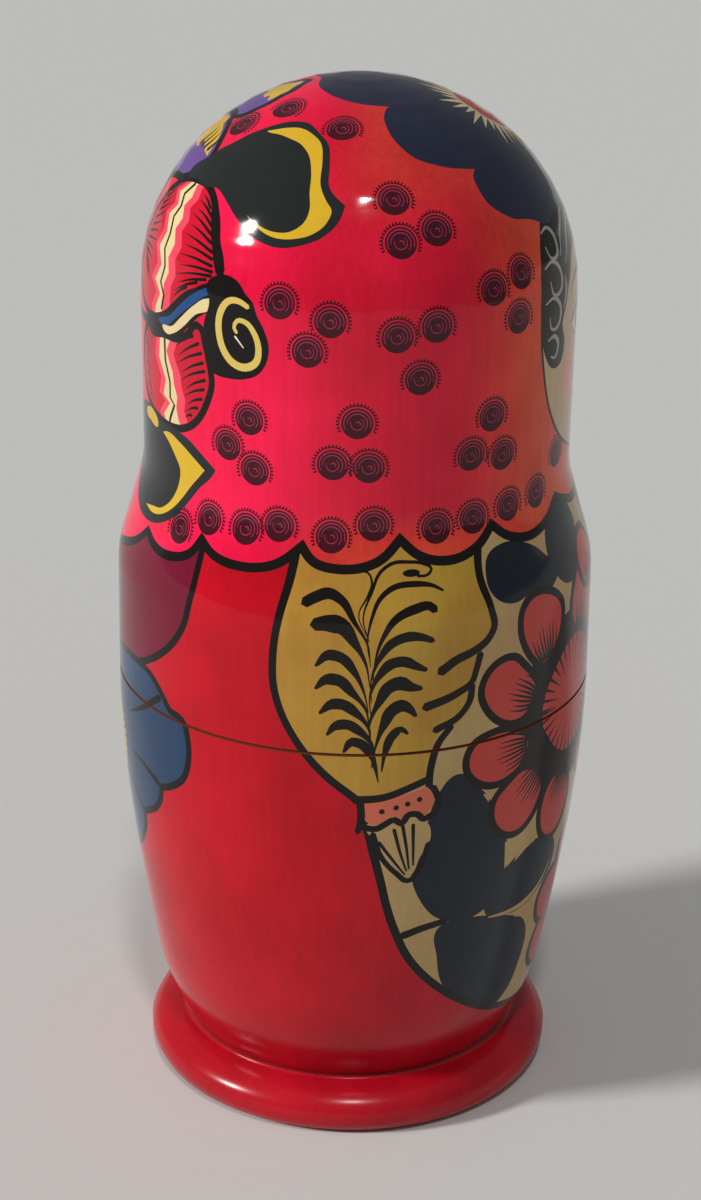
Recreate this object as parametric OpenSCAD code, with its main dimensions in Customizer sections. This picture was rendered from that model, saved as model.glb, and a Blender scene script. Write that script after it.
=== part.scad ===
// Nesting doll: nine hollow turned dolls and a solid smallest one, each inside the next.
// Every hollow doll has a lower half with a spigot and an upper half with a socket.
// Lengths are in millimetres and those of the outer doll, +Z up, origin at the centre of its base.

/* [Outline] */
// Height of the closed doll
doll_h = 270; // [250:1:300]
// Height of the middle of the head, where the dome starts
head_z = 218; // [205:1:235]
// Diameter of the head
head_d = 110.2; // [104:0.2:116]
// Height of the neck
neck_z = 174; // [170:1:190]
// Diameter of the neck
neck_d = 109.8; // [104:0.2:114]
// Height of the shoulder, halfway down its slope
shoulder_z = 162; // [155:1:168]
// Diameter of the shoulder there
shoulder_d = 115.6; // [112:0.2:120]
// Height of the arms, where the shoulder starts
arm_z = 145; // [135:1:152]
// Diameter at the arms
arm_d = 124; // [116:0.2:130]
// Height of the belly, the widest place
belly_z = 112; // [100:1:125]
// Diameter of the belly
belly_d = 124.4; // [116:0.2:136]
// Height of the hip
hip_z = 35; // [28:1:45]
// Diameter of the hip
hip_d = 106.8; // [100:0.2:112]
// Height of the waist, the crease above the foot
waist_z = 12.5; // [11:0.5:16]
// Diameter of the waist
waist_d = 89; // [80:0.2:96]

/* [Foot] */
// Diameter of the foot
foot_d = 110.4; // [102:0.2:118]
// Height of the foot's widest place
foot_edge_z = 5.5; // [4:0.5:7]
// How far the edge is rounded in underneath
foot_under = 4.5; // [2:0.5:6]
// Width of the flat in the crease between foot and body
crease_w = 0.6; // [0.4:0.1:1.2]

/* [Walls] */
// Height of the seam between the halves
seam_z = 115; // [108:1:122]
// Chamfer on both edges of the seam
seam_chamfer = 0.4; // [0.2:0.1:0.8]
// Thickness of the rim round the socket, and of the spigot's rim
rim_t = 3.4; // [2.8:0.1:4]
// Height of the spigot
spigot_h = 13.5; // [10:0.5:16]
// Solid wood under the hollow
floor_t = 30; // [27:0.5:34]
// Solid wood over the hollow
crown_t = 8; // [6:0.5:11]

/* [Fits] */
// Gap round a spigot in its socket, the same in every doll
fit_gap = 0.1; // [0.05:0.01:0.2]
// Gap over a spigot in its socket, the same in every doll
shelf_gap = 0.4; // [0.2:0.1:0.8]
// Gap under the foot of a doll that stands on a floor, the same in every doll
stand_gap = 0.05; // [0.02:0.01:0.2]
// Play round the widest place of the second doll in the mouth
belly_play = 4.6; // [3:0.2:6]
// Play round the second doll's head where it passes the neck
neck_play = 2; // [1:0.2:3]
// Play round the second doll's foot on the floor
foot_play = 1.5; // [1:0.1:2.5]
// Least air over the second doll's head
headroom = 6; // [4:0.5:10]

/* [Curves] */
// Length of the straight steps that stand for a curve
curve_step = 4; // [3:0.5:6]

/* [Hidden] */
$fn = 96;
doll_count = 10;
steps_per_quarter = 12;
waist_lean = 1.6;
dress_red = "#c3172c";
kerchief_pink = "#e2365c";
bare_wood = "#e3c896";

// Stations of the body's outline, from the crease to the head: height, radius
outline = [
    [waist_z, waist_d / 2],
    [hip_z, hip_d / 2],
    [belly_z, belly_d / 2],
    [arm_z, arm_d / 2],
    [shoulder_z, shoulder_d / 2],
    [neck_z, neck_d / 2],
    [head_z, head_d / 2]
];
last = len(outline) - 1;

// Slope at a station: upright where the outline turns back, else the mean of both chords
function chord(i) = (outline[i + 1][1] - outline[i][1]) / (outline[i + 1][0] - outline[i][0]);
function mean_slope(a, b) = a * b <= 0 ? 0 : 2 * a * b / (a + b);
function slope(i) = i == 0 ? waist_lean * chord(0) : i == last ? 0 : mean_slope(chord(i - 1), chord(i));

// Radius of the outer doll's body at a height, on a cubic curve between two stations
function span(z) = max([0, for (i = [0 : last - 1]) if (outline[i][0] <= z) i]);
function blend(a, b, w, t) =
    a[0] * (2 * t ^ 3 - 3 * t ^ 2 + 1) + a[1] * w * (t ^ 3 - 2 * t ^ 2 + t)
    + b[0] * (3 * t ^ 2 - 2 * t ^ 3) + b[1] * w * (t ^ 3 - t ^ 2);
function curve(i, z) =
    let (w = outline[i + 1][0] - outline[i][0])
    blend([outline[i][1], slope(i)], [outline[i + 1][1], slope(i + 1)], w, (z - outline[i][0]) / w);

// A doll is [scale, foot radius]: all but its foot and its fits has the outer doll's form at that scale
function scale_of(d) = d[0];
function foot_r(d) = d[1];
function body_r(d, z) = scale_of(d) * curve(span(z / scale_of(d)), z / scale_of(d));
function wall(d) = 2 * rim_t * scale_of(d) + fit_gap;
function hollow_r(d, z) = body_r(d, z) - wall(d);
function seam_at(d) = seam_z * scale_of(d);
function chamfer(d) = seam_chamfer * scale_of(d);
function floor_at(d) = floor_t * scale_of(d);
function spigot_top(d) = seam_at(d) + spigot_h * scale_of(d);
function socket_top(d) = spigot_top(d) + shelf_gap;
function head_at(d) = head_z * scale_of(d);
function waist_at(d) = waist_z * scale_of(d);
function seam_r(d) = body_r(d, seam_at(d));

// The joint: a straight socket under the narrowest place of the body beside it, a spigot in that, a bore in the spigot
function socket_r(d) = min(seam_r(d), body_r(d, socket_top(d))) - rim_t * scale_of(d);
function spigot_r(d) = socket_r(d) - fit_gap;
function bore_r(d) = spigot_r(d) - rim_t * scale_of(d);
function bowl_r(d, z) = min(hollow_r(d, z), bore_r(d));
function mouth_r(d) = bowl_r(d, spigot_top(d));

// The doll inside is the largest that stands on the floor clear of mouth, neck and crown
widest_d = max(belly_d, arm_d, head_d);
function scale_for_mouth(d) = (mouth_r(d) - belly_play * scale_of(d)) / (widest_d / 2);
function scale_for_neck(d) = (hollow_r(d, neck_z * scale_of(d)) - neck_play * scale_of(d)) / (head_d / 2);
function scale_for_crown(d) = scale_of(d) * (doll_h - floor_t - crown_t - headroom) / doll_h;
function inner_scale(d) = min(scale_for_mouth(d), scale_for_neck(d), scale_for_crown(d));
function inner_foot(d) = min(
    foot_d / 2 * inner_scale(d),
    bowl_r(d, floor_at(d)) - foot_play * scale_of(d)
);
function inner(d) = [inner_scale(d), inner_foot(d)];
outer = [1, foot_d / 2];
dolls = [for (i = 0, d = outer; i < doll_count; i = i + 1, d = inner(d)) d];
function base_z(i) = i == 0 ? 0 : base_z(i - 1) + floor_at(dolls[i - 1]) + stand_gap;

// Heights from one to another in equal steps, and the points of body, hollow and bowl at them
function steps(d, a, b) = ceil(abs(b - a) / (curve_step * scale_of(d)));
function heights(d, a, b) = [for (i = [0 : steps(d, a, b)]) a + (b - a) * i / steps(d, a, b)];
function body_points(d, a, b) = [for (z = heights(d, a, b)) [body_r(d, z), z]];
function hollow_points(d, a, b) = [for (z = heights(d, a, b)) [hollow_r(d, z), z]];
function bowl_points(d, a, b) = [for (z = heights(d, a, b)) [bowl_r(d, z), z]];

// Quarter of an ellipse about [r, z] from angle a to angle b, without its first point
function arc_angle(a, b, i) = a + (b - a) * i / steps_per_quarter;
function arc_point(r, z, rx, rz, t) = [r + rx * cos(t), z + rz * sin(t)];
function quarter(r, z, rx, rz, a, b) =
    [for (i = [1 : steps_per_quarter]) arc_point(r, z, rx, rz, arc_angle(a, b, i))];
function dome_points(d) =
    quarter(0, head_at(d), body_r(d, head_at(d)), doll_h * scale_of(d) - head_at(d), 0, 90);
function vault_points(d) =
    let (rise = (doll_h - crown_t) * scale_of(d) - head_at(d))
    concat([[0, head_at(d) + rise]], quarter(0, head_at(d), hollow_r(d, head_at(d)), rise, 90, 0));

// The foot: flat underneath, rounded edge, a round slope up to the crease
function foot_points(d) =
    let (k = scale_of(d))
    let (slope_w = foot_r(d) - body_r(d, waist_at(d)) - crease_w * k)
    concat(
        [[0, 0], [foot_r(d) - foot_under * k, 0]],
        quarter(foot_r(d) - foot_under * k, foot_edge_z * k, foot_under * k, foot_edge_z * k, -90, 0),
        quarter(foot_r(d) - slope_w, foot_edge_z * k, slope_w, waist_at(d) - foot_edge_z * k, 0, 90)
    );

module turned(points) {
    rotate_extrude() polygon(points);
}

module lower_half(d) {
    turned(concat(
        foot_points(d),
        body_points(d, waist_at(d), seam_at(d) - chamfer(d)),
        [[seam_r(d) - chamfer(d), seam_at(d)], [spigot_r(d), seam_at(d)]],
        [[spigot_r(d), spigot_top(d) - chamfer(d)], [spigot_r(d) - chamfer(d), spigot_top(d)]],
        bowl_points(d, spigot_top(d), floor_at(d)),
        [[0, floor_at(d)]]
    ));
}

module upper_half(d) {
    turned(concat(
        [[socket_r(d), seam_at(d)], [seam_r(d) - chamfer(d), seam_at(d)]],
        body_points(d, seam_at(d) + chamfer(d), head_at(d)),
        dome_points(d),
        vault_points(d),
        hollow_points(d, head_at(d) - curve_step * scale_of(d), socket_top(d)),
        [[socket_r(d), socket_top(d)]]
    ));
}

module solid_form(d) {
    turned(concat(
        foot_points(d),
        body_points(d, waist_at(d), head_at(d)),
        dome_points(d)
    ));
}

module lower(i) {
    color(dress_red) translate([0, 0, base_z(i)]) lower_half(dolls[i]);
}

module upper(i) {
    color(kerchief_pink) translate([0, 0, base_z(i)]) upper_half(dolls[i]);
}

module solid_doll(i) {
    color(bare_wood) translate([0, 0, base_z(i)]) solid_form(dolls[i]);
}

module first_doll_lower() { lower(0); }
module first_doll_upper() { upper(0); }
module second_doll_lower() { lower(1); }
module second_doll_upper() { upper(1); }
module third_doll_lower() { lower(2); }
module third_doll_upper() { upper(2); }
module fourth_doll_lower() { lower(3); }
module fourth_doll_upper() { upper(3); }
module fifth_doll_lower() { lower(4); }
module fifth_doll_upper() { upper(4); }
module sixth_doll_lower() { lower(5); }
module sixth_doll_upper() { upper(5); }
module seventh_doll_lower() { lower(6); }
module seventh_doll_upper() { upper(6); }
module eighth_doll_lower() { lower(7); }
module eighth_doll_upper() { upper(7); }
module ninth_doll_lower() { lower(8); }
module ninth_doll_upper() { upper(8); }
module tenth_doll_solid() { solid_doll(9); }

first_doll_lower();
first_doll_upper();
second_doll_lower();
second_doll_upper();
third_doll_lower();
third_doll_upper();
fourth_doll_lower();
fourth_doll_upper();
fifth_doll_lower();
fifth_doll_upper();
sixth_doll_lower();
sixth_doll_upper();
seventh_doll_lower();
seventh_doll_upper();
eighth_doll_lower();
eighth_doll_upper();
ninth_doll_lower();
ninth_doll_upper();
tenth_doll_solid();
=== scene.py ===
# Nesting doll: ten turned dolls, dyed, painted and lacquered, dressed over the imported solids
import math

import bpy
import numpy as np
from mathutils import Matrix, Vector
from mathutils.geometry import delaunay_2d_cdt


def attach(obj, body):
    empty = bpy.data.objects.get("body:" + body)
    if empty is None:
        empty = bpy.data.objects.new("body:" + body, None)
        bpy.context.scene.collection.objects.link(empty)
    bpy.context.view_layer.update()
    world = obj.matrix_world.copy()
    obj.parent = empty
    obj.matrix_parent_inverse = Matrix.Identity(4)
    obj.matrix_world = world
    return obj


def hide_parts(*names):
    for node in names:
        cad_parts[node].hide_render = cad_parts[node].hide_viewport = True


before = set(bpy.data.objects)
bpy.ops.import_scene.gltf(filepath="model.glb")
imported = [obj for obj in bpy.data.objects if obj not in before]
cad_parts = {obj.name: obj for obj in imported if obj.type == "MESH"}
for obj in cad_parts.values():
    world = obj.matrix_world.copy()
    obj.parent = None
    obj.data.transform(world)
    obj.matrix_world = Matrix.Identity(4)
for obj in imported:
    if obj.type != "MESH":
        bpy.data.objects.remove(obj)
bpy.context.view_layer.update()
scene = bpy.context.scene
scene.view_settings.view_transform = "Standard"

tiny = 1e-9  # keeps divisions safe

# the dolls from the outside in, each with its level of painted detail, 0 the finest
dollLevels = {"first": 0, "second": 1, "third": 1, "fourth": 1, "fifth": 2, "sixth": 2, "seventh": 2, "eighth": 2,
              "ninth": 2, "tenth": 2}

# camera, floor and light

photoView = {"azimuth": -94.0, "reach": 0.6367, "aside": -0.001, "height": 0.3882, "pitch": 22.0, "roll": 0.85,
             "lens": 77.7, "sensor": 36.0, "farthest": 50.0}


def addObject(name, data):
    made = bpy.data.objects.new(name, data)
    scene.collection.objects.link(made)
    return made


def placeCamera(view):
    data = bpy.data.cameras.new("photoCamera")
    data.lens, data.sensor_width, data.clip_end = view["lens"], view["sensor"], view["farthest"]
    turn = Matrix.Rotation(math.radians(view["azimuth"]), 4, "Z")
    stand = Matrix.Translation((view["aside"], -view["reach"], view["height"]))
    tilt = Matrix.Rotation(math.radians(90 - view["pitch"]), 4, "X")
    roll = Matrix.Rotation(math.radians(view["roll"]), 4, "Z")
    scene.camera = addObject("photoCamera", data)
    scene.camera.matrix_world = turn @ stand @ tilt @ roll


def linear(code):  # sRGB hex to linear light
    parts = [int(code[i:i + 2], 16) / 255 for i in (1, 3, 5)]
    return [c / 12.92 if c <= 0.04045 else ((c + 0.055) / 1.055) ** 2.4 for c in parts]


def setInputs(tree, node, inputs):  # socket values and links of a node
    for socket, value in inputs.items():
        if isinstance(value, bpy.types.NodeSocket):
            tree.links.new(value, node.inputs[socket])
        else:
            node.inputs[socket].default_value = value


def addNode(tree, kind, inputs=None, **settings):  # one node with its settings, values and links
    node = tree.nodes.new(kind)
    for name, value in settings.items():
        setattr(node, name, value)
    setInputs(tree, node, inputs or {})
    return node


def maths(tree, operation, *values):  # output of a maths node
    return addNode(tree, "ShaderNodeMath", dict(enumerate(values)), operation=operation).outputs[0]


def vectorMaths(tree, operation, *values):
    node = addNode(tree, "ShaderNodeVectorMath", dict(enumerate(values)), operation=operation)
    return node.outputs["Value" if operation == "LENGTH" else "Vector"]


def newMaterial(name):  # a material with its tree and its shader
    material = bpy.data.materials.new(name)
    material.use_nodes = True
    return material, material.node_tree, material.node_tree.nodes["Principled BSDF"]


placeCamera(photoView)

studio = {"floorColour": "#d1d0cd", "floorRadius": 30.0, "floorSides": 96, "clothRoughness": 0.95, "clothShine": 0.1,
          "worldColour": "#c9cbcc", "worldStrength": 0.36,
          "keyAzimuth": -165.0, "keyHeight": 28.0, "keyAngle": 9.0, "keyStrength": 2.65,
          "topAzimuth": -89.0, "topHeight": 61.0, "topAngle": 5.0, "topStrength": 0.7}


def addLamp(name, azimuth, height, angle, strength):  # a broad far lamp, so the floor is lit evenly
    data = bpy.data.lights.new(name, "SUN")
    data.angle = math.radians(angle)
    data.energy = strength
    a, e = math.radians(azimuth), math.radians(height)
    way = Vector((math.sin(a) * math.cos(e), -math.cos(a) * math.cos(e), math.sin(e)))
    lamp = addObject(name, data)
    lamp.matrix_world = Matrix.Translation(way) @ way.to_track_quat("Z", "Y").to_matrix().to_4x4()


def turnsOf(count):  # evenly spread over a full turn
    return np.linspace(0, 2 * math.pi, count, endpoint=False)


def setStage(s):
    for lamp in ("key", "top"):
        addLamp(lamp + "Lamp", *(s[lamp + value] for value in ("Azimuth", "Height", "Angle", "Strength")))
    world = bpy.data.worlds.new("studioWorld")
    world.use_nodes = True
    setInputs(world.node_tree, world.node_tree.nodes["Background"],
              {"Color": (*linear(s["worldColour"]), 1), "Strength": s["worldStrength"]})
    scene.world = world
    mesh = bpy.data.meshes.new("studioFloor")
    ring = [(s["floorRadius"] * math.cos(t), s["floorRadius"] * math.sin(t), 0) for t in turnsOf(s["floorSides"])]
    mesh.from_pydata(ring, [], [list(range(len(ring)))])
    cloth, tree, shader = newMaterial("paleCottonCloth")  # matt woven cloth: even, pale, with hardly any shine
    setInputs(tree, shader, {"Base Color": (*linear(s["floorColour"]), 1), "Roughness": s["clothRoughness"],
                             "Specular IOR Level": s["clothShine"]})
    mesh.materials.append(cloth)
    floor = addObject("studioFloor", mesh)


setStage(studio)
print("camera, floor and light are set")

# turned profiles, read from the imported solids: lengths in metres, the chart's in 270ths of the doll's height

turning = {"sameRing": 4e-6, "onAxis": 1e-5, "pole": 1e-6, "flat": 1e-7,  # how near counts as the same place
           "corner": 0.35, "unevenSteps": 5, "softBend": 0.3, "lean": 0.35, "curveSplit": 5, "beside": 2e-6,
           "tall": 270, "waistBelow": 40, "headAbove": 200, "footSpan": 25.0}


def ringsOf(node):  # rings of a turned solid as (radius, height), in the order of its profile
    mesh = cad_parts[node].data
    co = np.empty(len(mesh.vertices) * 3)
    mesh.vertices.foreach_get("co", co)
    co = co.reshape(-1, 3)
    rz = np.stack([np.hypot(co[:, 0], co[:, 1]), co[:, 2]], 1)
    label = np.full(len(rz), -1)
    rings = []
    for i in range(len(rz)):
        if label[i] < 0:
            near = (np.abs(rz - rz[i]).max(1) < turning["sameRing"]) & (label < 0)
            label[near] = len(rings)
            rings.append(rz[near].mean(0))
    mesh.calc_loop_triangles()
    tri = np.empty(len(mesh.loop_triangles) * 3, int)
    mesh.loop_triangles.foreach_get("vertices", tri)
    tri = label[tri.reshape(-1, 3)]
    beside = {i: set() for i in range(len(rings))}
    for a, b in np.unique(np.concatenate([tri[:, [0, 1]], tri[:, [1, 2]], tri[:, [2, 0]]]), axis=0):
        if a != b:
            beside[a].add(b)
            beside[b].add(a)
    order = [min((i for i in beside if len(beside[i]) == 1), key=lambda i: rings[i][1])]
    ahead = list(beside[order[0]])
    while ahead:
        order.append(ahead[0])
        ahead = [i for i in beside[order[-1]] if i not in order]
    line = [rings[i] for i in order]
    if line[0][0] > turning["onAxis"]:
        line.insert(0, np.array([0.0, line[0][1]]))
    if line[-1][0] > turning["onAxis"]:
        line.append(np.array([0.0, line[-1][1]]))
    return np.maximum(np.array(line), 0)


def slopeAt(a, b, c):  # direction at b of the circle through a, b and c
    u, w = b - a, c - b
    lu, lw = np.linalg.norm(u), np.linalg.norm(w)
    return u / lu * lw + w / lw * lu


def slopes(p0, p1, p2, p3, sharp1, sharp2):  # at p1 and p2 of a smooth line through four points; straight at a corner
    ways = (p2 - p1 if sharp1 else slopeAt(p0, p1, p2), p2 - p1 if sharp2 else slopeAt(p1, p2, p3))
    long = np.linalg.norm(p2 - p1)
    return [way / max(np.linalg.norm(way), tiny) * long for way in ways]


def between(p1, p2, t1, t2, t):  # at the share t of the way from p1 to p2, leaving along t1 and arriving along t2
    return ((2 * t ** 3 - 3 * t ** 2 + 1) * p1 + (t ** 3 - 2 * t ** 2 + t) * t1
            + (3 * t ** 2 - 2 * t ** 3) * p2 + (t ** 3 - t ** 2) * t2)


def walked(path):  # length along a line up to each of its points
    return np.concatenate([[0], np.cumsum(np.linalg.norm(np.diff(path, axis=0), axis=1))])


def smoothProfile(rings):  # a finer line through the rings that keeps the corners, with each point's arc
    step = np.diff(rings, axis=0)
    way = np.arctan2(step[:, 1], step[:, 0])
    bend = np.abs((np.diff(way) + math.pi) % (2 * math.pi) - math.pi)
    size = np.linalg.norm(step, axis=1)
    uneven = np.maximum(size[1:] / size[:-1], size[:-1] / size[1:]) > turning["unevenSteps"]  # a flat meets a curve
    sharp = np.concatenate([[True], (bend > turning["corner"]) | uneven, [True]])
    for end in (0, -1):  # a round end runs over the axis without a corner
        sharp[end] = abs(step[end][1]) < turning["flat"] or rings[end][0] > turning["pole"]
    out = []
    reach = [rings[1] * [-1, 1], *rings, rings[-2] * [-1, 1]]  # with a mirrored ring past each end
    for i in range(len(rings) - 1):
        p0, p1, p2, p3 = reach[i:i + 4]
        t1, t2 = slopes(p0, p1, p2, p3, sharp[i], sharp[i + 1])
        parts = 1 if sharp[i] and sharp[i + 1] else turning["curveSplit"]
        out.extend(between(p1, p2, t1, t2, t) for t in np.arange(parts) / parts)
    line = np.clip(np.array(out + [rings[-1]]), [0, rings[:, 1].min()], rings.max(0))
    return {"line": line, "arc": walked(line)}


def outerRun(profile, half):  # first and last index of the painted outside
    r, z = profile["line"].T
    widest = int(r.argmax())
    steep = np.abs(np.diff(r)) < turning["lean"] * np.diff(z)  # the steps of the wall, up to the seam's chamfer
    first, last = widest, len(r) - 1
    if half == "upper":
        while first > 0 and steep[first - 1]:
            first -= 1
    else:
        first = int(np.flatnonzero(np.abs(z - z[0]) < turning["flat"])[-1])  # the edge of the flat underside
    if half == "lower":
        last = widest
        while last < len(steep) and steep[last]:
            last += 1
    return first, last


def chartOf(doll):  # heights on the painting chart: below the waist and over the head they follow the arc
    mm = doll["size"] / turning["tall"]
    line, s, half = [], [], []
    for name, profile in doll["halves"].items():
        first, last = profile["run"]
        line.extend(profile["line"][first:last + 1])
        s.extend(profile["arc"][first:last + 1] / mm)
        half.extend([name] * (last + 1 - first))
    r, z = ((np.array(line) - [0, doll["base"]]) / mm).T
    s = np.array(s)
    low = np.flatnonzero(z < turning["waistBelow"])
    waist = low[np.flatnonzero((r[low][1:-1] < r[low][:-2]) & (r[low][1:-1] <= r[low][2:]))[-1] + 1]
    top = np.flatnonzero(z > turning["headAbove"])
    head = top[r[top].argmax()]
    v = z.copy()
    v[:waist] = z[waist] - turning["footSpan"] * (s[waist] - s[:waist]) / (s[waist] - s[0])
    v[head:] = z[head] + s[head:] - s[head]
    return {"v": v, "r": r, "z": z, "half": np.array(half), "head": v[head]}


def readDoll(name, level):
    doll = {"level": level, "halves": {}}
    for half in ("lower", "upper", "solid"):
        node = name + "_doll_" + half
        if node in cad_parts:
            profile = smoothProfile(ringsOf(node))
            doll["halves"][half] = {**profile, "run": outerRun(profile, half), "node": node}
    heights = [profile["line"][:, 1] for profile in doll["halves"].values()]
    doll["base"] = heights[0].min()
    doll["size"] = heights[-1].max() - doll["base"]
    doll["chart"] = chartOf(doll)
    return doll


dolls = [readDoll(name, level) for name, level in dollLevels.items()]
chart = dolls[0]["chart"]
crown = chart["v"][-1]
seamLow = chart["v"][chart["half"] == "lower"][-1]
seamHigh = chart["v"][chart["half"] == "upper"][0]
footEnd = chart["v"][0]
print("profiles read:", len(dolls), "dolls, chart from", round(footEnd, 1), "over the seam at",
      round(seamLow, 2), round(seamHigh, 2), "to the crown at", round(crown, 1))

# painter's tools: closed loops on the chart, in (turn from the front in degrees, height)

brushes = {"gap": 1.0, "detail": 2, "sides": (1, -1),  # side 1 is the photographed one
           "outline": 2.0, "shortStraight": 6, "capFrom": 0.2, "capLong": 0.8}
paintLayers = []


def mmPerDegree(v):
    return np.interp(v, chart["v"], chart["r"]) * math.pi / 180


def curve(points, closed=True):  # smooth line through given points; a point given twice is a corner
    pts, sharp = [], []
    for p in np.array(points, float):
        if pts and np.abs(p - pts[-1]).max() < tiny:
            sharp[-1] = True
        else:
            pts.append(p)
            sharp.append(False)
    n = len(pts)
    if not closed:
        sharp[0] = sharp[-1] = True
    out = []
    for i in range(n if closed else n - 1):
        p1, p2 = pts[i], pts[(i + 1) % n]
        sharp1, sharp2 = sharp[i], sharp[(i + 1) % n]
        t1, t2 = slopes(pts[i - 1], p1, p2, pts[(i + 2) % n], sharp1, sharp2)
        long = np.linalg.norm(p2 - p1)
        plain = sharp1 and sharp2 and long < brushes["shortStraight"]
        parts = 1 if plain else max(2, math.ceil(long / brushes["gap"]))
        out.append(between(p1, p2, t1, t2, (np.arange(parts) / parts)[:, None]))
    if not closed:
        out.append(pts[-1][None])
    return np.concatenate(out)


def sideways(path, closed):  # normals of a line on the chart, a millimetre long
    m = mmPerDegree(path[:, 1])[:, None] * [1, 0] + [0, 1]
    if closed:
        way = (np.roll(path, -1, 0) - np.roll(path, 1, 0)) * m
    else:
        way = np.gradient(path, axis=0) * m
    way /= np.maximum(np.linalg.norm(way, axis=1, keepdims=True), tiny)
    return np.stack([-way[:, 1], way[:, 0]], 1) / m


def area(loop):
    x, y = loop.T
    return 0.5 * np.sum(x * np.roll(y, -1) - np.roll(x, -1) * y)


def grown(loop, by):  # a closed loop moved outwards
    return loop - sideways(loop, True) * by * np.sign(area(loop))


def stroke(points, widths, smooth=True):  # a brush line, as wide along its length as widths says
    path = curve(points, False) if smooth else np.array(points, float)
    along = walked(path)
    w = np.interp(along / along[-1], np.linspace(0, 1, len(widths)), widths)[:, None] / 2
    side = sideways(path, False) * w
    caps = []
    for end, inner in ((0, 1), (-1, -2)):
        m = [mmPerDegree(path[end, 1]), 1]
        out = (path[end] - path[inner]) * m
        out = out / max(np.linalg.norm(out), tiny) / m
        blunt = w[end] > brushes["capFrom"]
        caps.append(path[end] + out * w[end] * brushes["capLong"] if blunt else path[end])
    return np.concatenate([caps[0][None], path + side, caps[1][None], (path - side)[::-1]])


def lay(colour, loop, detail=0, sides=None):  # one more coat on top, on both sides of the doll or on those given
    if detail <= brushes["detail"]:
        loop = np.asarray(loop, float)
        paintLayers.extend((loop * [side, 1], colour) for side in sides or brushes["sides"])


def layCap(colour, half):  # a coat over the crown: its edge on one side, closed by the mirror image
    half = half[(half[:, 0] >= 0) & (half[:, 0] <= 180)]
    lay(colour, np.concatenate([half, half[::-1] * [-1, 1]]), 0, (1,))


def layAll(colours, art, names):  # plain coats, one for each colour and outline
    for colour, name in zip(colours, names):
        lay(colour, curve(art[name]))


def outlined(colour, points, width=None):  # a coat with an ink line about it
    loop = curve(points)
    lay("ink", grown(loop, width or brushes["outline"]))
    lay(colour, loop)
    return loop


def around(centre, radius, turns, tall=1.0):  # chart points about another, the radius in millimetres
    return np.stack([centre[0] + radius * np.cos(turns) / mmPerDegree(centre[1]),
                     centre[1] + radius * tall * np.sin(turns)], 1)


def onCrown(points):  # (front, side) millimetres about the crown to the chart
    p = np.array(points, float)
    return np.stack([np.degrees(np.arctan2(p[:, 1], p[:, 0])), crown - np.hypot(p[:, 0], p[:, 1])], 1)


def rays(centre, turns, outer, inner, widths):  # short strokes from a flower's rim towards its middle
    for start, end in zip(around(centre, outer, turns), around(centre, inner, turns)):
        lay("ink", stroke([start, end], widths), 1)


petalArt = {"egg": ((0.10, 0.32), (0.5, 0.52), (0.85, 0.36)), "outline": 2.1, "hatch": (5.0, 0.85, 0.58),
            "rootSpread": 0.55, "rootLift": 0.02, "round": 0.25, "lengths": (1, 0.82, 0.94), "belly": 0.08,
            "widths": (1, 0.75), "tipWidth": 0.15}  # a hatch has its spread, width and reach


def hatch(root, tip, count, spread, width, reach):  # a fan of tapering lines from a petal's root
    h, m = petalArt, [mmPerDegree(root[1]), 1]
    axis = (np.array(tip, float) - root) * m
    across = np.array([-axis[1], axis[0]]) / np.linalg.norm(axis)
    for i, t in enumerate(np.linspace(-1, 1, count)):
        start = across * t * spread * h["rootSpread"] + axis * h["rootLift"]
        end = across * t * spread + axis * reach * (1 - h["round"] * t * t) * h["lengths"][i % 3]
        mid = (start + end) / 2 + across * t * spread * h["belly"]
        widths = [*(width * share for share in h["widths"]), h["tipWidth"]]
        lay("ink", stroke([root + p / m for p in (start, mid, end)], widths), 1)


# colours as they lie on the wood, and 1 where a dye lets the grain show; the darker dress red is painted shade for
# the dress towards the foot
paints = {"dress": ("#bc081d", 1.0), "dressShadedLow": ("#b00f20", 1.0), "pink": ("#f01446", 1.0),
          "crimson": ("#d41433", 1.0), "orange": ("#d44c2c", 1.0), "plum": ("#70102b", 0.8), "blue": ("#253f5e", 0.5),
          "ochre": ("#b58a36", 0.55), "cream": ("#b79765", 0.45), "skin": ("#c8aa82", 0.3), "ink": ("#15110f", 0.0),
          "black": ("#232726", 0.2), "navy": ("#1a212b", 0.4), "indigo": ("#25293d", 0.4), "coral": ("#c1423a", 0.3),
          "cuff": ("#d06a52", 0.2), "yellow": ("#d9b02c", 0.2), "straw": ("#dbbf62", 0.2), "purple": ("#6b4c93", 0.2),
          "ruby": ("#cb0d2d", 0.4), "azure": ("#1d4a80", 0.3), "salmon": ("#f2485f", 0.2),
          "petalCream": ("#e4cf98", 0.2), "stamp": ("#42101c", 0.0), "stampLine": ("#9e2c4a", 0.2),
          "white": ("#eee6d4", 0.0), "curl": ("#a39c90", 0.0), "iris": ("#35597d", 0.0), "lip": ("#c22a33", 0.0),
          "blush": ("#e79a86", 0.3), "seam": ("#5e3020", -1.0)}

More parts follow.
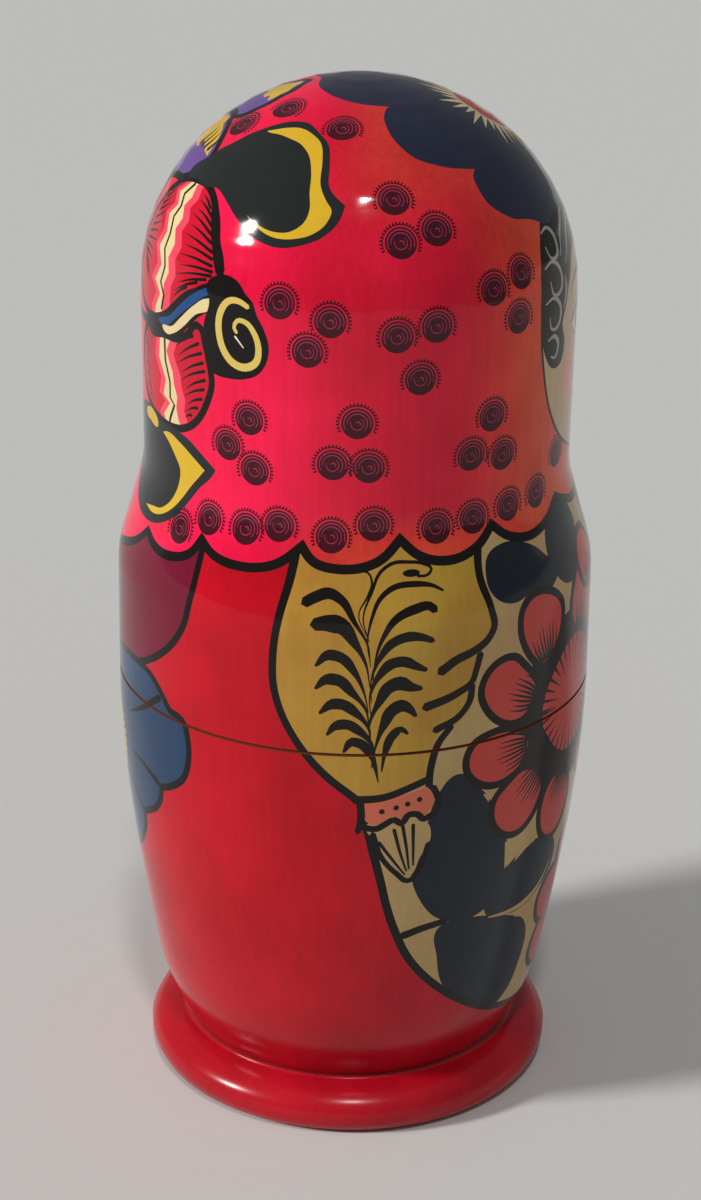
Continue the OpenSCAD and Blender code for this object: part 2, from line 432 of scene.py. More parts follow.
# the back: the kerchief's plum tail and a lobed blue flower below it
backArt = {
    "tail": [
        (135.5, 166), (135.5, 158), (136, 150), (137.5, 143), (141, 137), (146, 132), (152, 128), (157, 125.5),
        (165, 121), (180, 117), (195, 121), (195, 166)],
    "flower": [
        (157, 124), (150, 123), (146, 120), (142, 116), (138, 115), (136.6, 111), (136.5, 106), (138.5, 100),
        (142.5, 96.5), (147.5, 94), (147.5, 94), (148, 91), (150, 87.5), (154, 84.5), (158.5, 82), (158.5, 82),
        (159, 78), (161.5, 74), (166, 69.5), (172, 66.5), (180, 65.5), (188, 66.5), (195, 80), (195, 118), (180, 121),
        (168, 123)],
    "lobeLines": [
        [(148, 94), (155, 96.5), (163, 97)], [(158.5, 81.5), (164, 86), (168, 89)],
        [(146, 119), (154, 113), (163, 108)]],
    "fold": ([(180, 163), (177, 150), (173, 137), (170, 126)], [1.6, 1.4, 1.0, 0.6]),
    "lobeWidths": [2.0, 1.5, 0.4], "eye": (180, 96), "eyeSize": 11.5, "eyePoints": 18, "eyeLine": 1.8,
    "heartSize": 6.0, "heartPoints": 14, "heartLine": 1.4, "rays": (11.3, 8.2, [0.9, 0.3]), "rayCount": 14,
    "rayTurn": 0.1}


def paintBack(art):
    outlined("plum", art["tail"])
    lay("ink", stroke(*art["fold"]))
    outlined("blue", art["flower"])
    for line in art["lobeLines"]:
        lay("ink", stroke(line, art["lobeWidths"]))
    outlined("yellow", around(art["eye"], art["eyeSize"], turnsOf(art["eyePoints"])), art["eyeLine"])
    outlined("ruby", around(art["eye"], art["heartSize"], turnsOf(art["heartPoints"])), art["heartLine"])
    rays(art["eye"], turnsOf(art["rayCount"]) + art["rayTurn"], *art["rays"])


# the apron: a cream panel with dark leaves and coral flowers
apronArt = {
    "panel": [
        (-4, 180), (62, 180), (80, 140), (86, 110), (90.5, 97), (90.5, 97), (88.5, 88), (86, 77), (83.5, 68),
        (80.5, 60), (77.5, 54), (73, 47.5), (68, 42), (62, 37), (55, 32.5), (48, 29.5), (41, 27), (35, 25.5),
        (24, 23.5), (12, 22.3), (-4, 22), (-4, 22)],
    "edge": ([
        (90.8, 97), (88.9, 88), (87, 80), (85, 71), (82.5, 63), (79, 55), (74, 48), (68, 42), (61, 36.5), (52, 31),
        (43, 27.5), (35, 25.5), (24, 23.5), (12, 22.3), (-4, 22)], [2.2]),
    "leaves": [
        [(75, 93), (77.5, 85), (77.8, 80), (75.5, 73), (71, 67), (65, 64.5), (58, 66), (54, 72), (53.5, 80), (56, 88),
         (60, 96), (64, 101.5), (69, 106), (72.5, 102)],
        [(70, 62), (63, 62.5), (56, 61), (48, 58), (41, 54), (37.5, 48), (38, 40), (41, 33), (46, 29.5), (52, 31.5),
         (58, 35), (64, 39.5), (67.5, 45), (69.5, 53)],
        [(55, 63), (50, 61.5), (42, 61), (36, 63), (30, 67.5), (31, 73), (36, 76.5), (42, 78), (47, 76.5), (52, 73),
         (56, 68)],
        [(59.8, 158), (59, 161.5), (55, 163), (50, 162.3), (45, 160), (41, 156.5), (38, 154.2), (40, 152),
         (45, 151.3), (50, 152), (54, 151.3), (57.5, 152.5), (59.5, 155)],
        [(37.5, 163), (35, 166.5), (30, 167.5), (25.5, 166), (23, 162), (23.5, 157), (26, 152.5), (30, 150),
         (34, 150.5), (37, 153.5), (38.3, 158)],
        [(9, 176), (3, 172), (-3, 172), (-3, 147.4), (0, 146.6), (4, 148), (8.5, 153.5), (12, 161), (12.5, 170)]],
    "swell": [1.5, 0.9, 1.7, 1.5, 1.5, 0.0],
    "bridge": ([(80.5, 61.5), (75, 63.2), (69, 64.2)], [2.4, 2.2, 2.0]),
    "slivers": [
        [(53.5, 83.5), (49.5, 83.8), (50.5, 79), (52.5, 75)],
        [(47.5, 84), (43, 86), (41.5, 79.5), (45, 78.5), (49, 76)], [(59.5, 100), (61.8, 100), (60, 97.3)],
        [(45.5, 57.5), (39, 57.5), (38, 53.5), (41, 55.5)]],
    "vein": ([(55.5, 61.2), (48, 60.2), (40, 60.8), (35, 63), (30, 68.5)], [0.5, 1.2, 1.8, 1.2, 0.4]),
    "disc": [
        (43.5, 117), (42, 122.5), (38, 128), (33, 132), (28, 133), (22, 131), (18, 126), (16.5, 119), (17, 112),
        (20, 106), (25, 102.5), (31, 101.5), (36, 104), (40.5, 109), (43, 113)],
    "petals": [
        ([(66, 110.5), (64.5, 114), (60, 115.7), (54, 115.3), (50.5, 113.5), (48.5, 110.5), (50, 106.5), (54, 103.6),
          (58.5, 102.8), (63, 104.5), (65.5, 107.5)], (48.5, 110), (66, 109)),
        ([(62.5, 128), (61.5, 132), (58, 134.8), (54.5, 134.8), (51.5, 132), (47.5, 127), (46.3, 124), (48, 121),
          (51, 118.7), (54, 118.5), (58, 120.5), (61, 124)], (46.6, 122.5), (61.5, 130)),
        ([(51.5, 143), (51, 147), (48, 149.3), (44, 149.3), (39.5, 147), (37.5, 144.5), (37, 140), (38.5, 135.5),
          (41.5, 132), (44, 131), (46.5, 133), (50, 138)], (42, 131.5), (46, 149)),
        ([(58, 94), (57.5, 97), (54, 100.5), (50, 102.7), (46.5, 102), (43.5, 99.5), (42.3, 96), (43.5, 91.5),
          (46, 88), (49.5, 86), (53, 86.5), (56.5, 89.5)], (43.5, 101), (55.5, 88.5)),
        ([(40.5, 89), (40, 84), (37.5, 79.7), (34, 78), (30, 78.5), (27, 81.5), (26, 86), (27.5, 91), (31, 95),
          (35.5, 96), (38.5, 94)], (32.5, 96), (34, 78))],
    "heart": (29.5, 116.5), "shade": 25, "shadePoints": 40, "hatches": 8, "discLine": 2.6, "discRays": 32,
    "rayEnds": (0.68, 0.55), "rayWidths": [0.9, 0.12],
    "heartFan": (18, 15, [(104, 36), (137, 33), (168, 31), (198, 31), (229, 33)]),  # near, wide, (turn, far)
    "lowFlower": (0, 49), "lowTall": 0.85, "lowHatches": 5, "lowHeartSize": 12, "lowHeartPoints": 22,
    "lowRays": (12, 6.5, [1.0, 0.2]), "lowRayTurns": (-1.57, 1.57, 9),
    "lowFan": (14, 15, [(90, 32), (52, 32), (16, 33), (-20, 31), (-56, 26), (-90, 24)]),
    "bud": (19, 151), "budSize": 6.5, "budPoints": 18, "budRoot": (0, -6.2), "budTip": (0, 6),
    "budHatch": (5, 3.4, 0.9, 0.6)}


def petalShape(centre, turn, near, far, wide):  # an egg with its small end at the flower's middle, in millimetres
    side = [(near + along * (far - near), across * wide) for along, across in petalArt["egg"]]
    local = [(near, 0), *side, (far, 0), *((x, -y) for x, y in side[::-1])]
    c, s, m = math.cos(turn), math.sin(turn), mmPerDegree(centre[1])
    put = [(centre[0] + (x * c - y * s) / m, centre[1] + x * s + y * c) for x, y in local]
    return put, put[0], put[4]


def fanOf(centre, near, wide, reach):  # petals about a flower's middle, as (points, root, tip)
    return [petalShape(centre, math.radians(turn), near, far, wide) for turn, far in reach]


def paintPetals(petals, hatches):
    for points, root, tip in petals:
        lay("ink", grown(curve(points), petalArt["outline"]))
    for points, root, tip in petals:
        lay("coral", curve(points))
        hatch(np.array(root, float), tip, hatches, *petalArt["hatch"])


def paintApron(art):
    heart, low, bud = art["heart"], art["lowFlower"], np.array(art["bud"])
    allRound = turnsOf(art["shadePoints"])
    lay("cream", curve(art["panel"]))
    lay("ink", around(heart, art["shade"], allRound))
    for leaf, swell in zip(art["leaves"], art["swell"]):
        lay("navy", grown(curve(leaf), swell))
    for sliver in art["slivers"]:
        lay("cream", curve(np.repeat(sliver, 2, 0)))  # every point is a corner
    lay("cream", stroke(*art["vein"]))
    lay("ink", around(low, art["shade"], allRound, art["lowTall"]))
    paintPetals(fanOf(low, *art["lowFan"]), art["lowHatches"])
    outlined("cuff", around(low, art["lowHeartSize"], turnsOf(art["lowHeartPoints"])))
    rays(low, np.linspace(*art["lowRayTurns"]), *art["lowRays"])
    paintPetals(fanOf(heart, *art["heartFan"]) + art["petals"], art["hatches"])
    disc = outlined("coral", art["disc"], art["discLine"])
    for i in range(0, len(disc), max(1, len(disc) // art["discRays"])):
        end = heart + (disc[i] - heart) * art["rayEnds"][i % 2]
        lay("ink", stroke([disc[i], end], art["rayWidths"]), 1)
    outlined("coral", around(bud, art["budSize"], turnsOf(art["budPoints"])))
    hatch(bud + art["budRoot"], bud + art["budTip"], *art["budHatch"])
    lay("ink", stroke(*art["bridge"]))
    lay("ink", stroke(*art["edge"]))


# the sleeve, its brushed fern, the cuff and the hand
sleeveArt = {
    "sleeve": [
        (108, 172), (108, 169), (109.5, 160), (111.5, 150), (112.7, 140), (112.5, 132), (111, 126), (108, 119.5),
        (104, 113.5), (99, 108), (95, 104.5), (92.5, 102.5), (92.5, 102.5), (90, 103), (85, 104.5), (80, 106.5),
        (76, 107.8), (75.5, 112), (75, 117), (73.5, 120), (70, 121), (66.5, 124.5), (65.2, 128), (66, 131), (65, 135),
        (64.5, 139), (62, 141), (60, 145), (60.3, 150), (61.8, 155), (62.6, 160), (62, 164), (60, 168), (58, 171),
        (58, 176), (100, 176)],
    "lines": [
        ([(108, 171), (109.3, 160), (111.3, 150), (112.5, 140), (112.3, 132), (110.8, 126), (107.8, 119.5),
          (103.8, 113.5), (98.8, 108), (94.8, 104.5), (92, 102)], [2.4, 2.0, 2.0, 2.2]),
        ([(59.5, 171), (62.5, 165), (63, 158), (61, 150), (60.5, 145), (62, 142.5), (66, 140), (70, 138.6),
          (74, 136)],
         [2.4, 2.2, 2.0, 2.2, 2.6]),
        ([(64, 139), (65, 135), (66, 132), (70, 129.5), (77.5, 127)], [2.0, 1.8, 2.2, 2.4]),
        ([(66, 131), (66.5, 127), (69, 123.5), (75, 120.5)], [2.0, 1.8, 2.0]),
        ([(71, 121), (74, 117), (75.5, 112), (76, 108), (76, 104)], [1.8, 2.0, 2.0])],
    "fern": [
        ([(91, 144.5), (94, 150), (97, 155), (100, 156.5), (103, 155.5), (105.5, 154)], [0.5, 1.0, 2.0, 2.8, 2.6]),
        ([(91.2, 139), (94, 145), (97, 149), (100, 149.5), (103, 149)], [0.5, 1.2, 3.0, 4.6, 3.0]),
        ([(91.8, 132.5), (94, 137.5), (97, 141), (99.5, 141.5), (102.5, 138.5)], [0.5, 1.2, 2.6, 3.0, 0.8]),
        ([(91.2, 127.5), (94.5, 132), (97.5, 135), (100, 135), (102.5, 132.5)], [0.5, 1.2, 2.8, 3.2, 0.8]),
        ([(90.5, 122.5), (93.5, 126.5), (96.5, 128.6), (98.5, 128.6), (101.5, 126)], [0.5, 1.2, 2.8, 3.0, 0.8]),
        ([(89.5, 117.5), (92.5, 121.5), (95.5, 123.3), (97.8, 122.8), (99.8, 120.3)], [0.5, 1.2, 2.6, 2.8, 0.7]),
        ([(88.5, 110), (90, 115.5), (92.5, 118.3), (94, 118.6), (96, 115.8)], [0.5, 1.2, 2.6, 2.6, 0.7]),
        ([(92, 151), (90, 157), (88, 161.5), (85, 163.5), (81, 163.6), (77.5, 163), (75.5, 161.5), (76.5, 160.3),
          (79, 160.2)],
         [0.4, 0.8, 0.9, 0.8, 0.7]),
        ([(93, 152), (91, 156), (90, 159), (91, 161.5), (92.5, 161.8)], [0.3, 0.6, 0.5]),
        ([(91, 145), (90, 151), (88, 155.5), (85, 157.8), (80, 158.4), (75, 157.5), (73, 156.3)],
         [0.4, 0.9, 1.4, 1.5, 0.6]),
        ([(89.3, 139), (87.5, 146), (84.5, 150.5), (80, 152.6), (76.5, 153), (75.3, 152)], [0.4, 0.9, 1.8, 2.4, 2.0]),
        ([(90, 135), (88, 141), (85.5, 144.5), (82, 146), (78.5, 145.6), (76, 144.5)], [0.4, 1.0, 2.4, 2.6, 1.4]),
        ([(90.2, 131), (88, 136.5), (85.5, 139.2), (82.5, 139.6), (80, 138.3), (77.5, 137)],
         [0.4, 1.2, 2.8, 2.8, 1.2]),
        ([(90.2, 123.5), (88, 129.5), (86, 133), (83.5, 134), (81, 132.8), (78.5, 132.2)], [0.4, 1.2, 3.0, 3.8, 1.2]),
        ([(88.7, 117.5), (87, 123), (85, 127), (83, 128), (81, 126.8), (79.7, 125)], [0.4, 1.2, 3.0, 3.4, 1.0]),
        ([(87.3, 110.5), (86.5, 116), (84.8, 120.3), (83, 121.7), (81.5, 120.4)], [0.4, 1.0, 2.2, 2.4, 0.8]),
        ([(88, 107.5), (88.6, 111), (89.2, 116)], [0.3, 1.0, 0.5])],
    "spine": 89.8, "tailAbove": 112, "tailShare": 0.35, "tailDrop": 6, "tailWidth": 0.2,
    "eye": (80.5, 161), "eyeSize": 2.2, "eyePoints": 12, "eyeTall": 0.42, "fingerWidths": [1.0, 0.8, 0.5],
    "cuff": [
        (91.5, 101.7), (91.5, 101.7), (84, 103.2), (76.5, 105.3), (76.5, 105.3), (75.5, 104), (75, 99.5),
        (75.5, 98.8), (77.5, 97.2), (79, 99), (81, 98.8), (82.5, 96.8), (84.5, 97.8), (86.5, 96.6), (88.5, 95.5),
        (90.5, 96.5), (91.3, 99)],
    "cuffDots": [(87, 99.3), (83.7, 100.2), (81, 101), (78.2, 102)], "dotSize": 0.75, "dotPoints": 10,
    "cuffLines": [
        ([(93.5, 102.7), (87, 103.2), (80, 105.8), (76, 107.5)], [2.2, 2.0, 2.0]),
        ([(92, 102), (91.8, 97), (92.5, 93.5)], [2.0, 2.0, 1.6]),
        ([(91.5, 95), (88, 94.5), (86, 95.8), (84, 96.8), (82.5, 95.7), (80.5, 98), (78.5, 97.8), (77, 96.3),
          (75.5, 97), (73.8, 98.5), (73.8, 102), (75, 105)], [1.8])],
    "hand": [
        (90, 96), (86, 95), (80, 97), (76, 95), (75, 91), (77.5, 85), (79.5, 80), (81, 79), (84, 83), (87, 88.5)],
    "fingers": [
        [(87.5, 90.5), (84, 85), (81, 80.5)], [(84, 94), (82.3, 87), (80.6, 81.5)], [(82, 95), (80.8, 88), (80, 82)],
        [(79.5, 95), (79.2, 88), (79, 83)]],
    "handEdge": ([(89, 93), (87, 86.5), (83, 81), (80, 78.5), (77.5, 82), (75.5, 89)], [1.6, 1.4, 1.6, 1.4])}


def paintSleeve(art):
    lay("ochre", curve(art["sleeve"]))
    for line in art["lines"]:
        lay("ink", stroke(*line))
    for points, widths in art["fern"]:
        (u, v), spine = points[0], art["spine"]
        if v > art["tailAbove"]:  # a fine tail joins the leaf to the spine
            points = [(spine + (u - spine) * art["tailShare"], v - art["tailDrop"]), *points]
            widths = [art["tailWidth"], *widths]
        lay("ink", stroke(points, widths), 1)
    lay("ink", around(art["eye"], art["eyeSize"], turnsOf(art["eyePoints"]), art["eyeTall"]), 1)
    lay("cream", curve(art["hand"]))
    for finger in art["fingers"]:
        lay("ink", stroke(finger, art["fingerWidths"]), 1)
    lay("ink", stroke(*art["handEdge"]))
    lay("cuff", curve(art["cuff"]))
    for dot in art["cuffDots"]:
        lay("ink", around(dot, art["dotSize"], turnsOf(art["dotPoints"])), 1)
    for line in art["cuffLines"]:
        lay("ink", stroke(*line))


# the kerchief with its scalloped hem and stamped rosettes
kerchiefArt = {
    "hem": [
        (0, 172), (7, 168.6), (15, 167), (23, 168.2), (30, 171), (30, 171), (37, 167), (46, 165.3), (52.5, 167),
        (57.5, 171), (57.5, 171), (63, 166.3), (70, 164.2), (77, 165.5), (83, 170.5), (83, 170.5), (89, 165),
        (98, 163.3), (103.5, 164.5), (107, 168.5), (107, 168.5), (114, 163), (123, 161.2), (130.5, 162.3),
        (135.5, 165.5), (135.5, 165.5), (139, 160.5), (145, 158.3), (152, 158.6), (157.5, 161), (157.5, 161),
        (163, 156.5), (172, 153), (180, 151), (186, 152)],
    "rosettes": [
        (84, 251.5), (83, 241), (72.5, 243.5), (58, 228), (48, 230.5), (50, 220), (114, 226), (101, 222.5),
        (106.5, 215), (84.5, 219), (74.5, 221), (78.5, 208.5), (122, 196.5), (128.5, 189), (120.5, 184), (94, 198),
        (100, 187.5), (91, 187), (58, 197), (64, 188), (54, 186.5), (103, 272), (157, 268), (141, 277),
        (143.5, 164.5), (134, 169), (122.5, 169), (113.5, 171), (100, 169.5), (89.5, 172.5), (73.5, 171), (63, 172),
        (51.5, 173), (40, 173.5), (29, 181)],
    "leftRosettes": [
        (141, 229), (151, 236), (152, 225.5), (137, 211), (147, 206), (136, 201), (150, 191), (161, 187), (157, 177),
        (153, 165.5), (165, 163), (175, 160)],
    "hemLine": 2.3, "discSize": 3.85, "discPoints": 22, "tickSpan": (-0.45, math.pi + 0.45, 23),
    "arcShape": (0.5, 1, 0.6), "arcPoints": (9, 3),  # at least, and more for each radian
    "tickCorners": [(4.4, -0.055), (5.1, -0.03), (5.1, 0.06), (4.4, 0.055)],  # (radius, turn)
    "arcs": [
        ((4.4, 4.4), -0.5, math.pi + 0.5, 0.36, "stamp"), ((3.2, 3.25), -0.5, math.pi + 0.3, 0.40, "stampLine"),
        ((2.4, 2.4), -0.1, math.pi + 0.8, 0.32, "stampLine"), ((1.5, 1.6), 2.2, 6.6, 0.28, "stampLine"),
        ((0.3, 0.8), 0.4, 3.8, 0.36, "stampLine")]}


def rosette(centre, art):
    lay("stamp", around(centre, art["discSize"], turnsOf(art["discPoints"])))
    least, more = art["arcPoints"]
    for r, first, last, width, colour in art["arcs"]:
        turns = np.linspace(first, last, least + int(more * abs(last - first)))
        path = around(centre, np.linspace(*r, len(turns)), turns)
        lay(colour, stroke(path, [width * share for share in art["arcShape"]], False), 2)
    radius, aside = np.array(art["tickCorners"]).T
    for turn in np.linspace(*art["tickSpan"]):
        lay("stamp", around(centre, radius, turn + aside), 2)


def paintKerchief(art):
    hem = curve(art["hem"], False)
    layCap("ink", hem - sideways(hem, False) * art["hemLine"])
    layCap("kerchief", hem)
    for name, sides in (("rosettes", (1, -1)), ("leftRosettes", (-1,))):
        brushes["sides"] = sides
        for centre in art[name]:
            rosette(centre, art)
    brushes["sides"] = (1, -1)


# the flower at the back of the head: striped petals, dark leaves edged yellow, a curl and purple buds
headArt = {
    "leafHigh": [
        (157, 258), (152, 262), (145, 267), (137, 271), (128, 273), (120, 272.8), (113, 270), (107, 266), (105, 260),
        (104, 254.5), (101.5, 252), (98.5, 250), (98.5, 250), (100, 246), (103.5, 242.5), (109, 240), (116, 238.7),
        (123, 240), (130, 243.5), (137, 247.5), (143, 250), (150, 249.5), (155, 250.5), (163, 251)],
    "crescentHigh": [
        (139, 268.3), (139, 268.3), (130, 270.5), (123, 271), (116, 269.5), (110, 266), (108, 261), (107, 255),
        (104, 250.5), (102.5, 248.8), (103.5, 245.5), (107, 242.7), (112, 241.2), (118, 241), (124, 243),
        (128, 245.3), (128, 245.3), (122, 243), (118, 242.3), (113, 243), (109.5, 246), (109, 248.5), (110, 253),
        (111, 258), (113.5, 262.5), (118, 265.5), (125, 267.2), (132, 268), (137, 268)],
    "leafLow": [
        (143, 187.5), (137, 184.5), (132.5, 181.7), (132.5, 181.7), (134, 179.5), (138, 176), (142, 171.5),
        (146, 167), (151, 163.7), (157, 162), (163, 162), (169, 163.5), (176, 167), (183, 172), (189, 179),
        (189, 179), (183, 184.5), (177, 188), (170, 190), (164, 190.5), (158, 188.5), (150, 188.5)],
    "crescentLow": [
        (152, 186.8), (146, 185.5), (140, 182.8), (136.3, 180.8), (136.3, 180.8), (138.5, 178.5), (142, 175),
        (145.5, 171), (149, 167.5), (153.5, 165), (158, 164.3), (162.5, 165), (162.5, 165), (158, 165.8),
        (154, 166.5), (150.5, 168.8), (148.2, 172), (146.5, 176), (146.2, 178.5), (148.5, 181.5), (152, 184.5),
        (155, 186), (155, 186)],
    "fleck": [(158, 187), (163, 190), (168, 187.5), (164, 186.5)],
    "budLow": [
        (186, 250), (172, 249.5), (165, 250.5), (160, 254), (158.5, 257.5), (162, 261.5), (168, 265), (174, 266.5),
        (186, 267)],
    "budLowTip": [
        (186, 258), (172, 259), (165, 257.5), (160, 256.6), (160, 256.6), (162, 260.5), (168, 264), (174, 265.4),
        (186, 266)],
    "budHigh": [(186, 269), (172, 269.5), (166, 272), (163, 277), (164, 282), (170, 285.5), (186, 286)],
    "budHighTip": [(186, 279), (172, 278.5), (165, 278), (165, 281.5), (170.5, 284.3), (186, 285)],
    "petalHigh": [
        (154, 249.5), (148, 249), (143, 246.5), (139, 242.5), (136, 237), (133, 231.5), (133, 228.5), (138, 226.5),
        (143, 224.5), (148, 221), (152, 218), (156, 216.3), (162, 215.3), (168, 217), (172, 222), (174, 230),
        (173, 238), (169, 244), (163, 248)],
    "petalLow": [
        (160, 211), (152, 210.5), (146, 211), (141, 213.5), (138.5, 216), (136.5, 212), (135, 207), (134.5, 203.5),
        (136, 199), (138, 195.5), (141, 192.5), (145, 190.5), (150, 189.7), (156, 190), (161, 191), (166, 194),
        (169, 200), (168, 206), (165, 210)],
    "zigHigh": [
        (150, 249), (149, 246), (151, 243.5), (149, 240.5), (150.5, 237.5), (148.5, 234), (150, 230.5), (148.5, 227),
        (150, 224), (151, 218.5)],
    "zigLow": [
        (147, 211), (148.5, 207.5), (147, 205), (145.5, 203), (145, 200), (143.5, 197), (144, 194), (143, 191)],
    "hatchHigh": [
        ((142, 245), (147.5, 247.6)), ((140, 243), (148, 246.2)), ((139, 241), (147, 244)),
        ((138, 239), (148.6, 242.6)), ((137, 237), (147.4, 240)), ((136, 235), (148.8, 237.6)),
        ((135.4, 233.4), (147.4, 235)), ((135, 231.8), (148.4, 232.6)), ((134.6, 230.5), (147.4, 230)),
        ((134.8, 229.5), (148.6, 227.6)), ((136.5, 228.4), (147.4, 225.6)), ((139.5, 227.2), (148.4, 223.4)),
        ((143, 225.4), (149, 221.6))],
    "hatchLow": [
        ((140, 214), (147, 210)), ((138, 212.5), (146.4, 207.6)), ((137, 210.3), (146.6, 205.8)),
        ((136.4, 208), (144.6, 204)), ((136, 206), (145, 202)), ((135.8, 203.8), (143.4, 200)),
        ((136.2, 201.4), (143.6, 198.2)), ((137, 198.8), (142.4, 196.4)), ((138.6, 196.2), (143, 194.4)),
        ((141, 193.8), (143.6, 192.6))],
    "veinHigh": [
        (155, 249.3), (157.6, 246), (156.2, 243), (157.6, 240), (156.2, 236), (156.6, 232), (154.6, 228),
        (155.6, 224), (153.5, 221), (154.5, 217.5)],
    "veinLow": [(153, 211), (152.8, 205), (150.5, 200), (150.5, 196), (148.5, 194.5), (150.5, 191), (151, 189.8)],
    "band": [
        (163, 214), (154, 215.8), (148, 219.8), (142, 224.3), (137, 227.3), (131, 228.5), (131, 228.5), (134, 221.5),
        (138, 219), (142, 215.6), (147, 211.8), (153, 210.5), (163, 211)],
    "bandBlue": [
        (156, 214), (150, 217), (145, 221), (140, 224.5), (134, 227), (131, 227), (136, 224.5), (142, 220.5),
        (147, 217), (152, 214)],
    "bandCream": [
        (154, 213), (149, 214.5), (145, 217.5), (140, 221.5), (135.5, 224), (132.5, 224), (134, 221.7), (139, 219.5),
        (143.5, 215.8), (148, 213), (152, 212)],
    "curlBack": [
        (133, 230), (126, 229.5), (123.5, 227), (121, 225), (120, 222.5), (118, 219.5), (116.5, 215.5), (117, 211.5),
        (119.5, 208), (123.5, 206.3), (128, 205.8), (132, 206), (134.5, 207), (136, 212), (136, 218), (134.5, 224),
        (136, 227.5)],
    "curl": ([
        (122.5, 224), (125, 225), (128, 224.8), (130.5, 222), (131, 217), (129.5, 212.5), (126.5, 209.8),
        (123, 209.3), (120, 211), (119.3, 214.5), (120.5, 218), (123, 220.3), (125.5, 220.3), (126.3, 218.5),
        (125.5, 217.5)], [1.2, 1.9, 2.0, 1.9, 1.5, 0.9]),
    "arm": ([(141, 246.5), (136.5, 239), (132, 231)], [2.0, 2.6, 3.0]),
    "tick": ([(126, 216.5), (123.5, 214)], [0.5, 0.25]),
    "stem": ([(179, 251), (181, 222), (178, 188)], [3.6, 3.0, 3.6]),
    "bandTail": ([(162, 212.6), (171, 212.2), (180, 214.5)], [2.6, 2.4, 3.0]),
    "sprigs": [
        [(180, 231), (184, 234), (191, 237), (200, 242)], [(181, 214), (185, 215.5), (192, 217), (202, 221)],
        [(180, 197), (184, 197.5), (191, 198.5), (200, 203)]],
    "sprigWidths": [2.0, 7.0, 9.0, 6.0, 0.8], "sprigLight": 1.6, "lightWidths": [0.3, 2.0, 1.4, 0.3],
    "veinWidths": [1.0, 0.8, 0.9], "hatchWidths": [0.9, 0.6, 0.12], "farWidths": [1.0, 0.15],
    "frontStripe": 3.6, "backStripe": 2.6, "veinGap": 2.2, "veinJag": 1.4, "hatchBow": 0.4,
    "hatchFrom": 135, "farHigh": 172, "farLow": 167, "farShare": 0.62,
    "budTicks": (163, 167, 171, 175), "budTickHeights": (258, 260.5, 262.8), "budTickGrowth": 0.2, "budTickBow": 1,
    "budTickWidths": [1.4, 0.9, 0.2]}


def clipped(loop, cut, side):  # the part of a loop on one side of a line that runs from top to bottom
    edge = np.interp(-loop[:, 1], -cut[:, 1], cut[:, 0])
    keep = (loop[:, 0] - edge) * side > 0
    n = len(loop)
    start = next(i for i in range(n) if keep[i] and not keep[i - 1])
    run = []
    for i in range(n):
        if not keep[(start + i) % n]:
            break
        run.append(loop[(start + i) % n])
    first, last = run[0][1], run[-1][1]
    inner = cut[(cut[:, 1] < max(first, last)) & (cut[:, 1] > min(first, last))]
    return np.array(run + list(inner if last > first else inner[::-1]))


def paintStripedPetal(art, part):  # red on both sides of a jagged vein, with a paler stripe and fine hatching
    loop = outlined("petalCream", art["petal" + part])
    zig, vein = np.array(art["zig" + part], float), np.array(art["vein" + part], float)
    lay("salmon", clipped(loop, zig + [art["frontStripe"], 0], -1))
    lay("ruby", clipped(loop, zig, -1))
    jag = art["veinGap"] + np.arange(len(vein)) % 2 * art["veinJag"]
    behind = vein + np.stack([jag, np.zeros(len(vein))], 1)
    lay("salmon", clipped(loop, behind, 1))
    lay("ruby", clipped(loop, behind + [art["backStripe"], 0], 1))
    lay("ink", stroke(vein, art["veinWidths"], False), 1)
    for root, tip in art["hatch" + part]:
        mid = ((root[0] + tip[0]) / 2, (root[1] + tip[1]) / 2 + art["hatchBow"])
        lay("ink", stroke([root, mid, tip], art["hatchWidths"]), 1)
        far = [(art["far" + part] - (u - art["hatchFrom"]) * art["farShare"], v) for u, v in (root, tip)]
        lay("ink", stroke(far, art["farWidths"], False), 1)


def paintHead(art):
    brushes["sides"] = (1,)
    for leaf in art["sprigs"]:
        lay("black", stroke(leaf, art["sprigWidths"]))
        lay("yellow", stroke([(u, v + art["sprigLight"]) for u, v in leaf[1:]], art["lightWidths"]))
    lay("ink", stroke(*art["stem"]))
    lay("ink", stroke(*art["bandTail"]))
    paintStripedPetal(art, "High")
    paintStripedPetal(art, "Low")
    layAll(("ink", "azure", "petalCream", "ink"), art, ("band", "bandBlue", "bandCream", "curlBack"))
    lay("ink", stroke(*art["arm"]))
    lay("straw", stroke(*art["curl"]))
    lay("white", stroke(*art["tick"], False), 1)
    layAll(("black", "yellow", "yellow"), art, ("leafLow", "crescentLow", "fleck"))
    brushes["sides"] = (1, -1)
    for bud in ("budHigh", "budLow"):
        outlined("purple", art[bud])
        lay("yellow", curve(art[bud + "Tip"]))
    low, mid, high = art["budTickHeights"]
    for u in art["budTicks"]:
        end = high + (u - art["budTicks"][0]) * art["budTickGrowth"]
        lay("ink", stroke([(u, low), (u - art["budTickBow"], mid), (u, end)], art["budTickWidths"]), 1)
    layAll(("black", "yellow"), art, ("leafHigh", "crescentHigh"))


